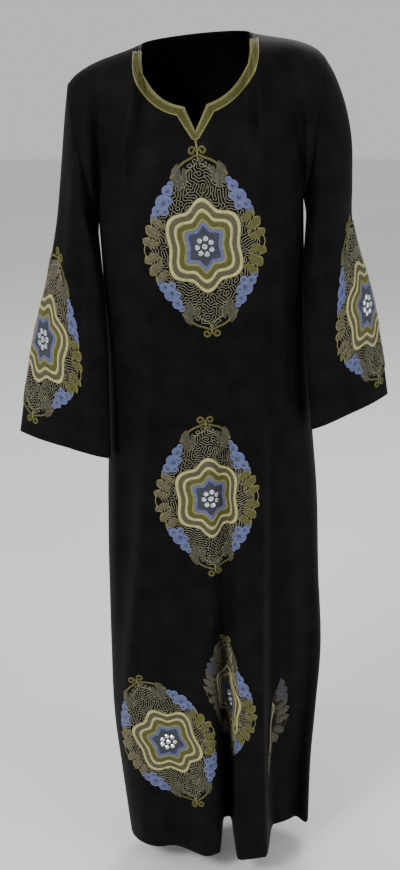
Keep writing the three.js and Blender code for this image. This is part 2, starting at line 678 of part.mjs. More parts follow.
const surfaces = {
  front: panelSurface('front', FRONT_COLUMNS),
  back: panelSurface('back', BACK_COLUMNS),
  left: sleeveSurface(-1),
  right: sleeveSurface(1),
};

// ---------------------------------------------------------------- pieces on a panel
//
// A piece that lies on a panel is cut on the panel's flat grid, where one cell is CELL
// wide, and each corner of the result is then carried to its facet and moved out. The
// grid is bent a little, by a different amount in every cell, so that the cut keeps all
// its corners.

const CELL = 10;
const BEND = 0.05;
const MOST_CELLS = { across: 100, down: 40 };
const bend = (i, j) => BEND * (i * i + j * j + i * j);

function toSolid(position, index) {
  return new wasm.Manifold(new wasm.Mesh({
    numProp: 3,
    vertProperties: Float32Array.from(position),
    triVerts: Uint32Array.from(index),
  }));
}

function geometryToSolid(geometry) {
  return toSolid(geometry.getAttribute('position').array, geometry.getIndex().array);
}

/** The panel's flat grid as a slab, one CELL thick for each layer. */
function gridSlab(surface, first, last, layers) {
  const position = [];
  const columns = last - first + 1;
  const rows = surface.rows.length;
  for (const layer of [layers, 0]) {
    for (let j = 0; j < rows; j += 1) {
      for (let i = first; i <= last; i += 1) {
        position.push(i * CELL, j * CELL, bend(i, j) + layer * CELL);
      }
    }
  }
  const inside = rows * columns;
  const at = (i, j, layer) => layer * inside + j * columns + i;
  const index = [];
  const quad = (a, b, c, d) => index.push(a, b, c, a, c, d);
  for (let j = 0; j < rows - 1; j += 1) {
    for (let i = 0; i < columns - 1; i += 1) {
      quad(at(i, j, 0), at(i + 1, j, 0), at(i + 1, j + 1, 0), at(i, j + 1, 0));
      index.push(at(i, j, 1), at(i + 1, j + 1, 1), at(i + 1, j, 1));
      index.push(at(i, j, 1), at(i, j + 1, 1), at(i + 1, j + 1, 1));
    }
  }
  for (let i = 0; i < columns - 1; i += 1) {
    quad(at(i, 0, 0), at(i, 0, 1), at(i + 1, 0, 1), at(i + 1, 0, 0));
    quad(at(i + 1, rows - 1, 0), at(i + 1, rows - 1, 1), at(i, rows - 1, 1), at(i, rows - 1, 0));
  }
  for (let j = 0; j < rows - 1; j += 1) {
    quad(at(0, j + 1, 0), at(0, j + 1, 1), at(0, j, 1), at(0, j, 0));
    const end = columns - 1;
    quad(at(end, j, 0), at(end, j, 1), at(end, j + 1, 1), at(end, j + 1, 0));
  }
  return toSolid(position, index);
}

/** A closed outline on the flat grid, as an upright prism. */
function gridPrism(outline) {
  const shape = new THREE.Shape(outline.map(([i, j]) => new THREE.Vector2(i * CELL, j * CELL)));
  const tall = bend(MOST_CELLS.across, MOST_CELLS.down) + 20 * CELL;
  const geometry = new THREE.ExtrudeGeometry(shape, { depth: tall, bevelEnabled: false, steps: 1 });
  geometry.translate(0, 0, -5 * CELL);
  const merged = new Map();
  const position = [];
  const renumber = [];
  const source = geometry.getAttribute('position');
  for (let k = 0; k < source.count; k += 1) {
    const key = [source.getX(k), source.getY(k), source.getZ(k)].map((c) => c.toFixed(4)).join();
    if (!merged.has(key)) {
      merged.set(key, merged.size);
      position.push(source.getX(k), source.getY(k), source.getZ(k));
    }
    renumber.push(merged.get(key));
  }
  const order = geometry.getIndex() ? Array.from(geometry.getIndex().array) : renumber.map((_, k) => k);
  return toSolid(position, order.map((k) => renumber[k]));
}

/** Where a grid place lies on a sampled surface's facets, moved out. */
function facetPoint(surface, i, j, distance) {
  const { points, ways } = surface.grid;
  const columns = points[0].length;
  const i0 = Math.floor(i);
  const j0 = Math.min(points.length - 2, Math.max(0, Math.floor(j)));
  const a = i - i0;
  const b = j - j0;
  const column = (k) => (surface.closed ? ((k % columns) + columns) % columns : Math.min(columns - 1, k));
  const blend = (grid) => {
    const p00 = grid[j0][column(i0)];
    const p10 = grid[j0][column(i0 + 1)];
    const p01 = grid[j0 + 1][column(i0)];
    const p11 = grid[j0 + 1][column(i0 + 1)];
    const first = a >= b ? p10 : p01;
    const share = Math.abs(a - b);
    const low = Math.min(a, b);
    return p00.clone().multiplyScalar(1 - Math.max(a, b))
      .addScaledVector(first, share)
      .addScaledVector(p11, low);
  };
  return blend(points).addScaledVector(blend(ways), distance);
}

/** Cuts the panel's grid with outlines, and lays the result on the panel. */
function layOnPanel(surface, first, last, parts) {
  let flat = null;
  parts.forEach(({ outline, layers }) => {
    const piece = gridSlab(surface, first, last, layers).intersect(gridPrism(outline));
    flat = flat ? flat.add(piece) : piece;
  });
  const heights = [SEAM, ...parts.map((part) => SEAM + part.thick)];
  const mesh = flat.getMesh();
  const position = [];
  for (let k = 0; k < mesh.vertProperties.length; k += mesh.numProp) {
    const i = mesh.vertProperties[k] / CELL;
    const j = mesh.vertProperties[k + 1] / CELL;
    const i0 = Math.floor(i + 1e-6);
    const j0 = Math.min(surface.rows.length - 2, Math.max(0, Math.floor(j + 1e-6)));
    const a = i - i0;
    const b = j - j0;
    const ground = a >= b
      ? bend(i0, j0) * (1 - a) + bend(i0 + 1, j0) * (a - b) + bend(i0 + 1, j0 + 1) * b
      : bend(i0, j0) * (1 - b) + bend(i0, j0 + 1) * (b - a) + bend(i0 + 1, j0 + 1) * a;
    const layer = Math.round((mesh.vertProperties[k + 2] - ground) / CELL);
    const spot = facetPoint(surface, i, j, heights[layer]);
    position.push(spot.x, spot.y, spot.z);
  }
  return closedGeometry(position, Array.from(mesh.triVerts));
}

/** The grid row at a surface's v. */
function rowAt(surface, v) {
  const { rows } = surface;
  let j = 0;
  while (j < rows.length - 2 && rows[j + 1] < v) j += 1;
  return j + (v - rows[j]) / (rows[j + 1] - rows[j]);
}

// ---------------------------------------------------------------- medallions

/** A lozenge with scalloped sides, as places from its middle. */
function lozenge(size) {
  const pointedness = 1.36;
  const scallops = 10;
  const scallopDepth = 0.03;
  return Array.from({ length: OUTLINE_POINTS }, (_, k) => {
    const angle = (2 * Math.PI * k) / OUTLINE_POINTS;
    const wide = Math.abs(Math.cos(angle)) / MEDALLION_HALF_WIDTH;
    const tall = Math.abs(Math.sin(angle)) / MEDALLION_HALF_HEIGHT;
    const plain = (wide ** pointedness + tall ** pointedness) ** (-1 / pointedness);
    const radius = size * plain * (1 - scallopDepth + scallopDepth * Math.cos(scallops * angle));
    return [radius * Math.cos(angle), radius * Math.sin(angle)];
  });
}

/** The rosette: an oval with six round lobes, one of them at the top. */
function rosette(size) {
  const lobeDepth = 0.07;
  return Array.from({ length: ROSETTE_POINTS }, (_, k) => {
    const angle = (2 * Math.PI * k) / ROSETTE_POINTS;
    const lobe = size * (1 - lobeDepth + lobeDepth * Math.cos(6 * (angle - Math.PI / 2)));
    return [lobe * ROSETTE_HALF_WIDTH * Math.cos(angle), lobe * ROSETTE_HALF_HEIGHT * Math.sin(angle)];
  });
}

/** The fraction at which a panel row reaches an x, found by halving. */
function fractionAtX(surface, x, v) {
  let low = 0;
  let high = 1;
  for (let k = 0; k < 40; k += 1) {
    const middle = (low + high) / 2;
    if (surface.point(middle, v).x < x) low = middle;
    else high = middle;
  }
  return (low + high) / 2;
}

/** The v at which a column, followed at a given x, reaches a height. */
function vAtHeight(heightOf, z, end) {
  let low = 0;
  let high = end;
  for (let k = 0; k < 40; k += 1) {
    const middle = (low + high) / 2;
    if (heightOf(middle) > z) low = middle;
    else high = middle;
  }
  return (low + high) / 2;
}

/** Steps sideways along a row, from a fraction, by a distance over the cloth. */
function stepAlongRow(surface, fraction, v, distance) {
  const step = Math.sign(distance) / 800;
  let left = Math.abs(distance);
  let f = fraction;
  let last = surface.point(f, v);
  while (left > 0) {
    const next = surface.point(f + step, v);
    const moved = next.distanceTo(last);
    if (moved >= left) return f + (step * left) / moved;
    left -= moved;
    last = next;
    f += step;
    if (!surface.closed && (f < 0.002 || f > 0.998)) return f;
  }
  return f;
}

/** The part of an outline right of an upright line, closed along that line. */
function clipLeft(outline, line) {
  const kept = [];
  outline.forEach(([p, q], k) => {
    const [nextP, nextQ] = outline[(k + 1) % outline.length];
    const inside = p >= line;
    if (inside) kept.push([p, q]);
    if (inside === nextP >= line) return;
    kept.push([line, q + ((line - p) / (nextP - p)) * (nextQ - q)]);
    if (!inside) return;
    const back = outline.findIndex(([a], n) => a < line && outline[(n + 1) % outline.length][0] >= line);
    const [fromP, fromQ] = outline[back];
    const [toP, toQ] = outline[(back + 1) % outline.length];
    const end = fromQ + ((line - fromP) / (toP - fromP)) * (toQ - fromQ);
    const start = kept[kept.length - 1][1];
    for (let n = 1; n < CLIP_STEPS; n += 1) kept.push([line, start + (end - start) * (n / CLIP_STEPS)]);
  });
  return kept;
}

/** Lays an outline on the front: the axis is set as seen, the width along the cloth. */
function placeOnFront(outline, place) {
  const surface = surfaces.front;
  const lean = (place.lean * Math.PI) / 180;
  return clipLeft(outline, -place.leftReach).map(([p, q]) => {
    const up = (q - place.drag * p) * Math.cos(lean) + p * Math.sin(lean);
    const across = p * Math.cos(lean) - q * Math.sin(lean);
    const z = place.z + up;
    if (place.flat) {
      const [f, v] = placeAt(place.x + across, z, [0.5, 0.6]);
      return [f * surface.columns, rowAt(surface, v)];
    }
    const v = vAtHeight((t) => surface.point(fractionAtX(surface, place.x, t), t).z, z, 2);
    const f = stepAlongRow(surface, fractionAtX(surface, place.x, v), v, across);
    return [f * surface.columns, rowAt(surface, v)];
  });
}

/** Lays an outline on a sleeve, whose outer edge is the medallion's axis. */
function placeOnSleeve(outline, place) {
  const surface = surfaces[place.side];
  const towardsFront = place.side === 'left' ? 1 : -1;
  return outline.map(([p, q]) => {
    const v = vAtHeight((t) => surface.point(place.round, t).z, place.z + q, 1);
    const f = stepAlongRow(surface, place.round, v, towardsFront * p);
    return [f * surface.columns, rowAt(surface, v)];
  });
}

function medallionGeometry(surface, first, last, toGrid, size) {
  return layOnPanel(surface, first, last, [
    { outline: toGrid(lozenge(size)), layers: 1, thick: MEDALLION_THICK },
    { outline: toGrid(rosette(size)), layers: 2, thick: ROSETTE_THICK },
  ]);
}

// ---------------------------------------------------------------- the neck trim

/** The place on the yoke's front that shows at an x and z, found by short steps. */
function placeAt(x, z, guess) {
  const surface = surfaces.front;
  let [f, v] = guess;
  for (let k = 0; k < 60; k += 1) {
    const here = surface.point(f, v);
    const step = 1e-4;
    const df = surface.point(f + step, v).sub(here).divideScalar(step);
    const dv = surface.point(f, v + step).sub(here).divideScalar(step);
    const missX = x - here.x;
    const missZ = z - here.z;
    const whole = df.x * dv.z - df.z * dv.x;
    const moveF = (missX * dv.z - missZ * dv.x) / whole;
    const moveV = (df.x * missZ - df.z * missX) / whole;
    const most = Math.max(1, Math.abs(moveF) / 0.02, Math.abs(moveV) / 0.05);
    f += moveF / most;
    v = Math.max(0.001, v + moveV / most);
  }
  return [f, v];
}

/** The trim's lower edge as seen from the front, left half from the shoulder down. */
function trimEdge(side) {
  const wide = NECK_HALF + TRIM_WIDTH;
  const deep = SCOOP_DROP + TRIM_WIDTH;
  const begin = 0.05;
  const meet = Math.acos((NOTCH_HALF + 0.8 * TRIM_WIDTH) / wide);
  const steps = 12;
  const spots = [];
  for (let k = 0; k <= steps; k += 1) {
    const angle = mix(begin, meet, k / steps);
    spots.push([side * wide * Math.cos(angle), SCOOP_CENTRE - deep * Math.sin(angle)]);
  }
  // Beside the notch's lowest point, where its two sides have come closer together.
  spots.push([side * 0.52 * (NOTCH_HALF + TRIM_WIDTH), NOTCH_BOTTOM + 2]);
  return spots;
}

function trimGeometry() {
  const surface = surfaces.front;
  const grid = ([f, v]) => [f * surface.columns, rowAt(surface, v)];
  const edge = (side) => {
    let guess = [side < 0 ? SEAM_SHARE : 1 - SEAM_SHARE, 0.1];
    return trimEdge(side).map(([x, z]) => {
      guess = placeAt(x, z + SHOULDER_SLOPE * x, guess);
      return grid(guess);
    });
  };
  const left = edge(-1);
  const right = edge(1);
  const tip = grid(placeAt(0, NOTCH_BOTTOM - 0.9 * TRIM_WIDTH, [0.5, 0.1]));
  const seamEnd = fractionAtX(surface, -(NECK_HALF + TRIM_WIDTH), 0) * surface.columns;
  const outline = [
    [SEAM_SHARE * surface.columns, -1], [seamEnd, -1], [seamEnd, 0],
    ...left, tip, ...right.reverse(),
    [surface.columns - seamEnd, 0], [surface.columns - seamEnd, -1],
    [(1 - SEAM_SHARE) * surface.columns, -1],
  ];
  return layOnPanel(surface, 0, surface.columns, [{ outline, layers: 1, thick: TRIM_THICK }]);
}

// ---------------------------------------------------------------- the kaftan

const crepe = () => new THREE.MeshStandardMaterial({ color: 0x17130f, roughness: 0.85, metalness: 0 });
const thread = () => new THREE.MeshStandardMaterial({ color: 0x7d7a3e, roughness: 0.7, metalness: 0 });

const kaftan = new THREE.Group();
kaftan.name = 'kaftan';

function addPiece(name, geometry, material) {
  const mesh = new THREE.Mesh(geometry, material);
  mesh.name = name;
  kaftan.add(mesh);
}

addPiece('front', wallGeometry(surfaces.front, -CLOTH, 0), crepe());
addPiece('back', wallGeometry(surfaces.back, -CLOTH, 0), crepe());
addPiece('sleeve_left', wallGeometry(surfaces.left, -CLOTH, 0), crepe());
addPiece('sleeve_right', wallGeometry(surfaces.right, -CLOTH, 0), crepe());
addPiece('neck_trim', trimGeometry(), thread());

for (const place of frontMedallions) {
  const toGrid = (outline) => placeOnFront(outline, place);
  addPiece(place.name, medallionGeometry(surfaces.front, 0, FRONT_COLUMNS, toGrid, place.size), thread());
}
for (const place of sleeveMedallions) {
  const toGrid = (outline) => placeOnSleeve(outline, place);
  const surface = surfaces[place.side];
  const half = SLEEVE_COLUMNS / 2;
  addPiece(place.name, medallionGeometry(surface, -half, half, toGrid, place.size), thread());
}

export default kaftan;
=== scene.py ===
# %% [markdown]
# # A long black kaftan
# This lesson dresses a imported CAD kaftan. Black crepe hangs from two shoulder seams, a corded
# band runs round the neckline, and seven embroidered medallions lie on front and sleeves.
# The frame comes first: it holds the plain solids, in metres, with +Z up and the front
# facing -Y. Everything that follows is fitted to it, so the same sizes are used again here.

# %% Load the frame
import math

import bpy
import numpy as np
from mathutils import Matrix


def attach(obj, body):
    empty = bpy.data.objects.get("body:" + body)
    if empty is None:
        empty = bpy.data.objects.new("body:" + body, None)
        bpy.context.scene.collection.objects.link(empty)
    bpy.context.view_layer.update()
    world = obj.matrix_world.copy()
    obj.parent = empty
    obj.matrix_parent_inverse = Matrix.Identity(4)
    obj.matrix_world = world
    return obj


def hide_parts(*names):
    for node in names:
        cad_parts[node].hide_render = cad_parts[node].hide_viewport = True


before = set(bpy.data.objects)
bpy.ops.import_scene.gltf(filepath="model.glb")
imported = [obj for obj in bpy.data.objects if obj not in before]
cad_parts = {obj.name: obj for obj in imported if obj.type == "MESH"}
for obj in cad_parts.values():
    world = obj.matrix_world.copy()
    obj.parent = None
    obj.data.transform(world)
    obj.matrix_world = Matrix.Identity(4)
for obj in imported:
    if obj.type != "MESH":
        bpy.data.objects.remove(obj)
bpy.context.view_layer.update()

MM = 0.001

# %% [markdown]
# ## Small helpers
# A hanging cloth has no straight lines, so its sizes are given at a few levels only and a
# smooth curve runs through them. Each table's first column is the place on that curve.

# %% Helpers
def mix(a, b, t):
    return a + (b - a) * t


def ease(t):
    t = np.clip(t, 0, 1)
    return t * t * (3 - 2 * t)


def unit(v):
    return v / np.maximum(np.linalg.norm(v, axis=-1, keepdims=True), 1e-9)


def turns(count):
    """Angles all the way round."""
    return np.linspace(0, 2 * np.pi, count, endpoint=False)


def around(angle, wide, tall=None):
    """Places round a centre at angles, with a radius across and one upwards."""
    return np.stack([wide * np.cos(angle), (wide if tall is None else tall) * np.sin(angle)], -1)


def run_lengths(line):
    """How far along a line each of its points is."""
    return np.append(0, np.cumsum(np.linalg.norm(np.diff(line, axis=0), axis=1)))


def read_rows(rows, keys):
    """A table's columns at any keys, on a smooth curve through its rows."""
    rows = np.asarray(rows, float)
    keys = np.atleast_1d(np.asarray(keys, float))
    rising = 1 if rows[-1, 0] > rows[0, 0] else -1
    i = np.clip(np.searchsorted(rising * rows[:, 0], rising * keys) - 1, 0, len(rows) - 2)
    before, after = rows[np.maximum(i - 1, 0)], rows[np.minimum(i + 2, len(rows) - 1)]
    start, end = rows[i], rows[i + 1]
    span = (end[:, 0] - start[:, 0])[:, None]
    t = np.clip((keys[:, None] - start[:, :1]) / span, 0, 1)
    leave = (end - before) / (end[:, :1] - before[:, :1]) * span
    arrive = (after - start) / (after[:, :1] - start[:, :1]) * span
    r = 1 - t
    out = start * (1 + 2 * t) * r * r + leave * t * r * r + end * t * t * (3 - 2 * t)
    out -= arrive * t * t * r
    out[:, 0] = keys
    return out


print("halfway between 0 and 10:", float(read_rows([[0, 0], [1, 10]], 0.5)[0, 1]))

# %% [markdown]
# ## The cut, in millimetres
# The body hangs as a tube of level sections: how wide it is, how far it reaches to the front
# and back, and how square its corners are. The folds that carry the light are listed by
# shape. A ridge stands forward where its depth is above 0, a step drops one side of the cloth
# back, and a trough is a deep pleat with steep flanks.

# %% Sizes of the body
SHOULDER_SLOPE, SHOULDER_REACH = 0.105, 191
UNDERARM_LEVEL, LEVEL_AGAIN, HEM_LEVEL = -242, -600, -1410
NECK_HALF, NECK_HEIGHT, SCOOP_CENTRE, SCOOP_DROP, SCOOP_ARC = 80, 9, -12, 72, 97
NOTCH_HALF, NOTCH_BOTTOM, NECK_FORWARD, NECK_ROUNDING = 18, -119, 100, 75
BACK_NECK_DEPTH, BACK_NECK_RISE = 52, 4
ARMHOLE_HALF_DEPTH, SEAM = 70, 0.3

# level, centre, half width, front, back, squareness, left side back, right side back
BODY = [
    (-242, 8, 158, 128, 100, 0.50, 0, 0), (-330, 12, 158, 125, 97, 0.48, 0, 2),
    (-450, 18, 161, 117, 95, 0.42, 0, 4), (-600, 24, 168, 110, 100, 0.34, 2, 6),
    (-720, 28, 176, 106, 104, 0.28, 2, 8), (-870, 31, 181, 101, 104, 0.25, 4, 12),
    (-1020, 36, 186, 96, 100, 0.25, 4, 20), (-1150, 35, 183, 92, 96, 0.25, 6, 28),
    (-1270, 38, 175, 88, 92, 0.25, 8, 34), (-1410, 45, 168, 84, 90, 0.25, 10, 40),
]

# level, x, width, depth; a trough also has the width of its flank as its last column
VALLEY = [(-430, 46, 26, 0, 24), (-560, 47, 26, 9, 24), (-690, 47, 26, 14, 24),
          (-850, 49, 26, 15, 24), (-960, 50, 27, 24, 25), (-1080, 51, 25, 44, 22),
          (-1250, 56, 19, 76, 13), (-1410, 59, 16, 96, 10)]
RECESS = [(-290, 106, 9, 0), (-420, 109, 9, 9), (-600, 113, 9, 15), (-810, 118, 9, 27),
          (-1080, 124, 9, 50), (-1410, 136, 9, 86)]
FOLDS = {
    "front": [
        ("ridge", [(-250, -62, 13, 0), (-420, -70, 14, 7), (-700, -84, 15, 11),
                   (-1000, -114, 16, 10), (-1200, -126, 16, 4), (-1410, -128, 16, 0)]),
        ("ridge", [(-250, -92, 16, 0), (-450, -106, 18, -7), (-800, -116, 16, -8),
                   (-1100, -138, 10, 0)]),
        ("ridge", [(-420, 8, 20, 0), (-800, -10, 24, -6), (-1100, -30, 26, -7),
                   (-1410, -40, 26, -12)]),
        ("ridge", [(-850, 22, 22, 0), (-1080, 16, 26, 10), (-1410, 21, 26, 17)]),
        ("step", [(-380, 46, 8, 0), (-560, 50, 8, -7), (-800, 58, 8, -10),
                  (-960, 60, 9, -12), (-1410, 70, 9, -34)]),
        ("trough", VALLEY),
        ("step", RECESS),
    ],
    "back": [
        ("ridge", [(-260, -70, 20, 0), (-700, -84, 20, -9), (-1410, -78, 22, -16)]),
        ("ridge", [(-300, -30, 22, 0), (-800, -32, 22, 9), (-1410, -20, 22, 18)]),
        ("ridge", [(-260, 20, 20, 0), (-800, 24, 22, -8), (-1410, 42, 24, -14)]),
        ("ridge", [(-300, 84, 18, 0), (-900, 94, 20, 8), (-1410, 112, 20, 14)]),
        ("ridge", [(-400, 130, 16, 0), (-900, 148, 16, -6), (-1410, 168, 14, -6)]),
    ],
}
# The front has 42 main columns, and six of them keep to the edges of the steep folds.
COLUMNS, RAIL_COLUMNS = 42, (22, 25, 26, 29, 31, 34)
print("levels:", len(BODY), "folds:", {face: len(rows) for face, rows in FOLDS.items()})

# %% [markdown]
# ## One level section
# A section is a squared half oval with the folds pressed into it. Its length is measured in
# small steps, because cloth keeps its length: columns of the weave run down the panel at
# equal shares of that length, not of the width.

# %% Level sections
SECTION_POINTS, PLAIN_SIDES_FROM = 601, 0.84


def fold_depth(folds, x):
    depth = np.zeros_like(x)
    for shape, (_, place, width, deep, *flank) in folds:
        off = x - place
        if shape == "ridge":
            depth -= deep * np.exp(-(off / width) ** 2)
        elif shape == "step":
            depth += deep * ease(off / (2 * width) + 0.5)
        else:
            depth += deep * ease((width - np.abs(off)) / flank[0])
    return depth


def section(face, level):
    """A function that gives the section's points at fractions of its columns."""
    _, centre, half, front, back, square, left, right = read_rows(BODY, level)[0]
    folds = [(shape, read_rows(rows, level)[0]) for shape, rows in FOLDS[face]]
    slope = SHOULDER_SLOPE * ease((level - LEVEL_AGAIN) / (UNDERARM_LEVEL - LEVEL_AGAIN))

    def point(angle):
        across = np.sin(angle)
        bulge = np.cos(angle) * (1 + square * across ** 2)
        x = centre + half * across
        side = mix(left, right, 0.5 + 0.5 * across)
        plain = ease((np.abs(across) - PLAIN_SIDES_FROM) / (1 - PLAIN_SIDES_FROM))
        inward = fold_depth(folds, x) * (1 - plain)
        y = side - front * bulge + inward if face == "front" else side + back * bulge - inward
        return np.stack([x, y, level + slope * x], -1)

    shares = np.linspace(0, 1, SECTION_POINTS)
    angles = np.pi * (shares - 0.5)
    lengths = run_lengths(point(angles))
    columns, stops = [0.0], [0.0]
    if face == "front":
        vx, vw, _, ve = read_rows(VALLEY, level)[0, 1:]
        rx, rw = read_rows(RECESS, level)[0, 1:3]
        xs = np.array([vx - vw, vx - (vw - ve), vx + (vw - ve), vx + vw, rx - rw, rx + rw])
        places = np.arcsin(np.clip((xs - centre) / half, -1, 1)) / np.pi + 0.5
        stops += list(np.interp(places, shares, lengths))
        columns += [c / COLUMNS for c in RAIL_COLUMNS]
    columns, stops = columns + [1.0], stops + [lengths[-1]]
    return lambda f: point(np.interp(np.interp(f, columns, stops), lengths, angles))


for level in (UNDERARM_LEVEL, HEM_LEVEL):
    length = run_lengths(section("front", level)(np.linspace(0, 1, SECTION_POINTS)))[-1]
    print("front at", level, "is", round(length), "mm of cloth")

# %% [markdown]
# ## The yoke
# Above the underarms a column of cloth leaves its shoulder seam nearly level, rolls over the
# shoulder and turns upright. One cubic curve for each column does that. The outermost columns
# are the armhole itself, a plane oval, so that a sleeve can be set into it.

# %% Seams and neckline
SEAM_SHARE, SCOOP_SHARE = 8 / COLUMNS, 18 / COLUMNS
# distance out from the middle, height
SHOULDER_SEAM = [(80, 9), (100, 3), (120, -2), (140, -7), (160, -14), (180, -25), (191, -36)]
NOTCH_ANGLE = math.acos(NOTCH_HALF / NECK_HALF)


def shoulder_point(out, side):
    x = side * out
    return np.array([x, 0, read_rows(SHOULDER_SEAM, out)[0, 1] + SHOULDER_SLOPE * x])


def neck_spot(x, z):
    forward = NECK_FORWARD * (1 - math.exp(-(NECK_HEIGHT - z) / NECK_ROUNDING))
    return np.array([x, -forward, z + SHOULDER_SLOPE * x])


def scoop_point(t, side):
    straight = NECK_HEIGHT - SCOOP_CENTRE
    drop = t * (straight + SCOOP_ARC)
    angle = max(drop - straight, 0) / SCOOP_ARC * NOTCH_ANGLE
    z = max(NECK_HEIGHT - drop, SCOOP_CENTRE) - SCOOP_DROP * math.sin(angle)
    return neck_spot(side * NECK_HALF * math.cos(angle), z)


def top_point(f, face):
    side, near = (-1, f) if f < 0.5 else (1, 1 - f)
    if near <= SEAM_SHARE:
        return shoulder_point(mix(SHOULDER_REACH, NECK_HALF, near / SEAM_SHARE), side)
    if face == "back":
        angle = math.pi * (f - SEAM_SHARE) / (1 - 2 * SEAM_SHARE)
        x, lift = -NECK_HALF * math.cos(angle), math.sin(angle)
        return np.array([x, BACK_NECK_DEPTH * lift,
                         NECK_HEIGHT + BACK_NECK_RISE * lift + SHOULDER_SLOPE * x])
    if near <= SCOOP_SHARE:
        return scoop_point((near - SEAM_SHARE) / (SCOOP_SHARE - SEAM_SHARE), side)
    t = (near - SCOOP_SHARE) / (0.5 - SCOOP_SHARE)
    corner = SCOOP_CENTRE - SCOOP_DROP * math.sin(NOTCH_ANGLE)
    return neck_spot(side * NOTCH_HALF * (1 - t), mix(corner, NOTCH_BOTTOM, t))


underarm = {face: section(face, UNDERARM_LEVEL) for face in ("front", "back")}
armholes = {side: (shoulder_point(SHOULDER_REACH, side),
                   underarm["front"](np.array([max(side, 0.0)]))[0]) for side in (-1, 1)}
print("armhole tops:", [tuple(a[0].round(0)) for a in armholes.values()])

# %% [markdown]
# ## From the seams down to the underarms
# Each column of the yoke is a curve with two handles. Near the neckline it turns down sooner,
# and near the armhole it is drawn over to the armhole's oval.

# %% Columns of the yoke
# how much a column dips as it leaves a shoulder seam, and as it leaves the neckline
SEAM_DIP, NECK_DIP, NECK_LEVEL = -0.12, -0.9, 0.45
# distances below the seam or behind it over which the neckline's dip sets in
FRONT_SETS_IN, BACK_STARTS, BACK_SETS_IN, BACK_SHARE = 60, 10, 40, 0.55
# lengths of the curve's two handles as shares of the column
START_HANDLE, END_HANDLE = 0.4, 0.36
# from which share of the way to the armhole a column is pulled towards the armhole's oval
ARM_FROM = 0.78
HANDLE = 4 / 3 * ARMHOLE_HALF_DEPTH


def curve_points(p0, p1, p2, p3, t):
    t = np.asarray(t)[:, None]
    r = 1 - t
    return p0 * r ** 3 + p1 * 3 * r * r * t + p2 * 3 * r * t * t + p3 * t ** 3


def armhole_points(side, half_turns):
    top, low = armholes[side]
    angle = np.pi * np.asarray(half_turns)[:, None]
    upright = (top + low) / 2 + (top - low) / 2 * np.cos(angle)
    return upright + np.array([0, -ARMHOLE_HALF_DEPTH, 0]) * np.sin(angle)


def yoke_column(f, t, face):
    forward = -1 if face == "front" else 1
    start, end = top_point(f, face), underarm[face](np.array([f]))[0]
    reach, edge = np.linalg.norm(end - start), abs(2 * f - 1)
    side, last = (-1, 0.0) if f < 0.5 else (1, 1.0)
    seam = read_rows(SHOULDER_SEAM, max(NECK_HALF, abs(start[0])))[0, 1]
    steep = ease((seam - (start[2] - SHOULDER_SLOPE * start[0])) / FRONT_SETS_IN)
    if face == "back":
        steep = max(steep, BACK_SHARE * ease((start[1] - BACK_STARTS) / BACK_SETS_IN))
    leave = unit(np.array([0, mix(1, NECK_LEVEL, steep) * forward,
                           mix(SEAM_DIP, NECK_DIP, steep)]))
    arm = ease((edge - ARM_FROM) / (1 - ARM_FROM))
    arrive = unit(np.array([0, forward * arm, 1 - arm]))
    column = curve_points(start, start + leave * mix(START_HANDLE * reach, HANDLE, arm),
                          end + arrive * mix(END_HANDLE * reach, HANDLE, arm), end, t)
    edge_start, edge_end = top_point(last, face), underarm[face](np.array([last]))[0]
    plain = curve_points(edge_start, edge_start + unit(np.array([0, forward, SEAM_DIP])) * HANDLE,
                         edge_end + np.array([0, forward * HANDLE, 0]), edge_end, t)
    return column + (armhole_points(side, -forward * np.asarray(t)) - plain) * arm


def panel_points(face, fractions, vs):
    """A panel's points: v is 0 at its top edge, 1 at the underarm and 2 at the hem."""
    yoke = np.stack([yoke_column(f, vs[vs < 1], face) for f in fractions], 1)
    skirt = np.stack([section(face, mix(UNDERARM_LEVEL, HEM_LEVEL, v - 1))(fractions)
                      for v in vs[vs >= 1]])
    half_seam = (-1 if face == "front" else 1) * SEAM / 2
    return np.concatenate([yoke, skirt]) + np.array([0, half_seam, 0])


print("yoke column:", yoke_column(0.5, [0, 1], "front").round(0).tolist())

# %% [markdown]
# ## The sleeves
# Each sleeve is a flattened tube. A ring of it is given by where its outer edge and its inner
# edge are and by half its depth between them, from the armhole down to the wide open cuff.

# %% Sizes of the sleeves
# along, outer edge x y z, inner edge x y z, half depth
SLEEVE_ROWS = {
    -1: [(0.10, 197, 0, -100, 150, -20, -285, 66), (0.20, 203, -2, -155, 145, -46, -316, 61),
         (0.32, 209, -4, -210, 141, -60, -352, 57), (0.44, 216, -6, -265, 138, -68, -396, 54),
         (0.56, 229, -6, -330, 136, -71, -445, 51), (0.67, 244, -5, -390, 136, -72, -495, 49),
         (0.78, 260, -3, -450, 136, -72, -546, 48), (0.89, 277, 0, -530, 136, -72, -588, 46),
         (1.00, 291, 4, -612, 136, -72, -632, 45)],
    1: [(0.10, 209, 0, -45, 170, -18, -252, 66), (0.20, 226, -2, -88, 167, -42, -284, 61),
        (0.32, 237, -4, -140, 164, -60, -320, 57), (0.44, 240, -6, -200, 164, -72, -364, 54),
        (0.56, 243, -6, -262, 167, -77, -412, 51), (0.67, 262, -5, -325, 171, -78, -460, 49),
        (0.78, 281, -3, -385, 175, -78, -506, 48), (0.89, 299, 0, -464, 179, -78, -540, 46),
        (1.00, 314, 4, -547, 183, -78, -580, 45)],
}
# round, width, start, depth
SLEEVE_FOLDS = [(0.17, 0.040, 0.15, 4), (0.27, 0.035, 0.35, -4), (0.38, 0.040, 0.10, 5),
                (0.63, 0.045, 0.30, -5), (0.78, 0.050, 0.20, 5)]
SLEEVE_TURN, SLEEVE_LIFT = 0.06, 0.24
SLEEVE_FLATNESS, FLAT_FROM, FOLD_FADE = 0.62, 0.35, 0.4
SLEEVE_GAP = 1.5 * SEAM


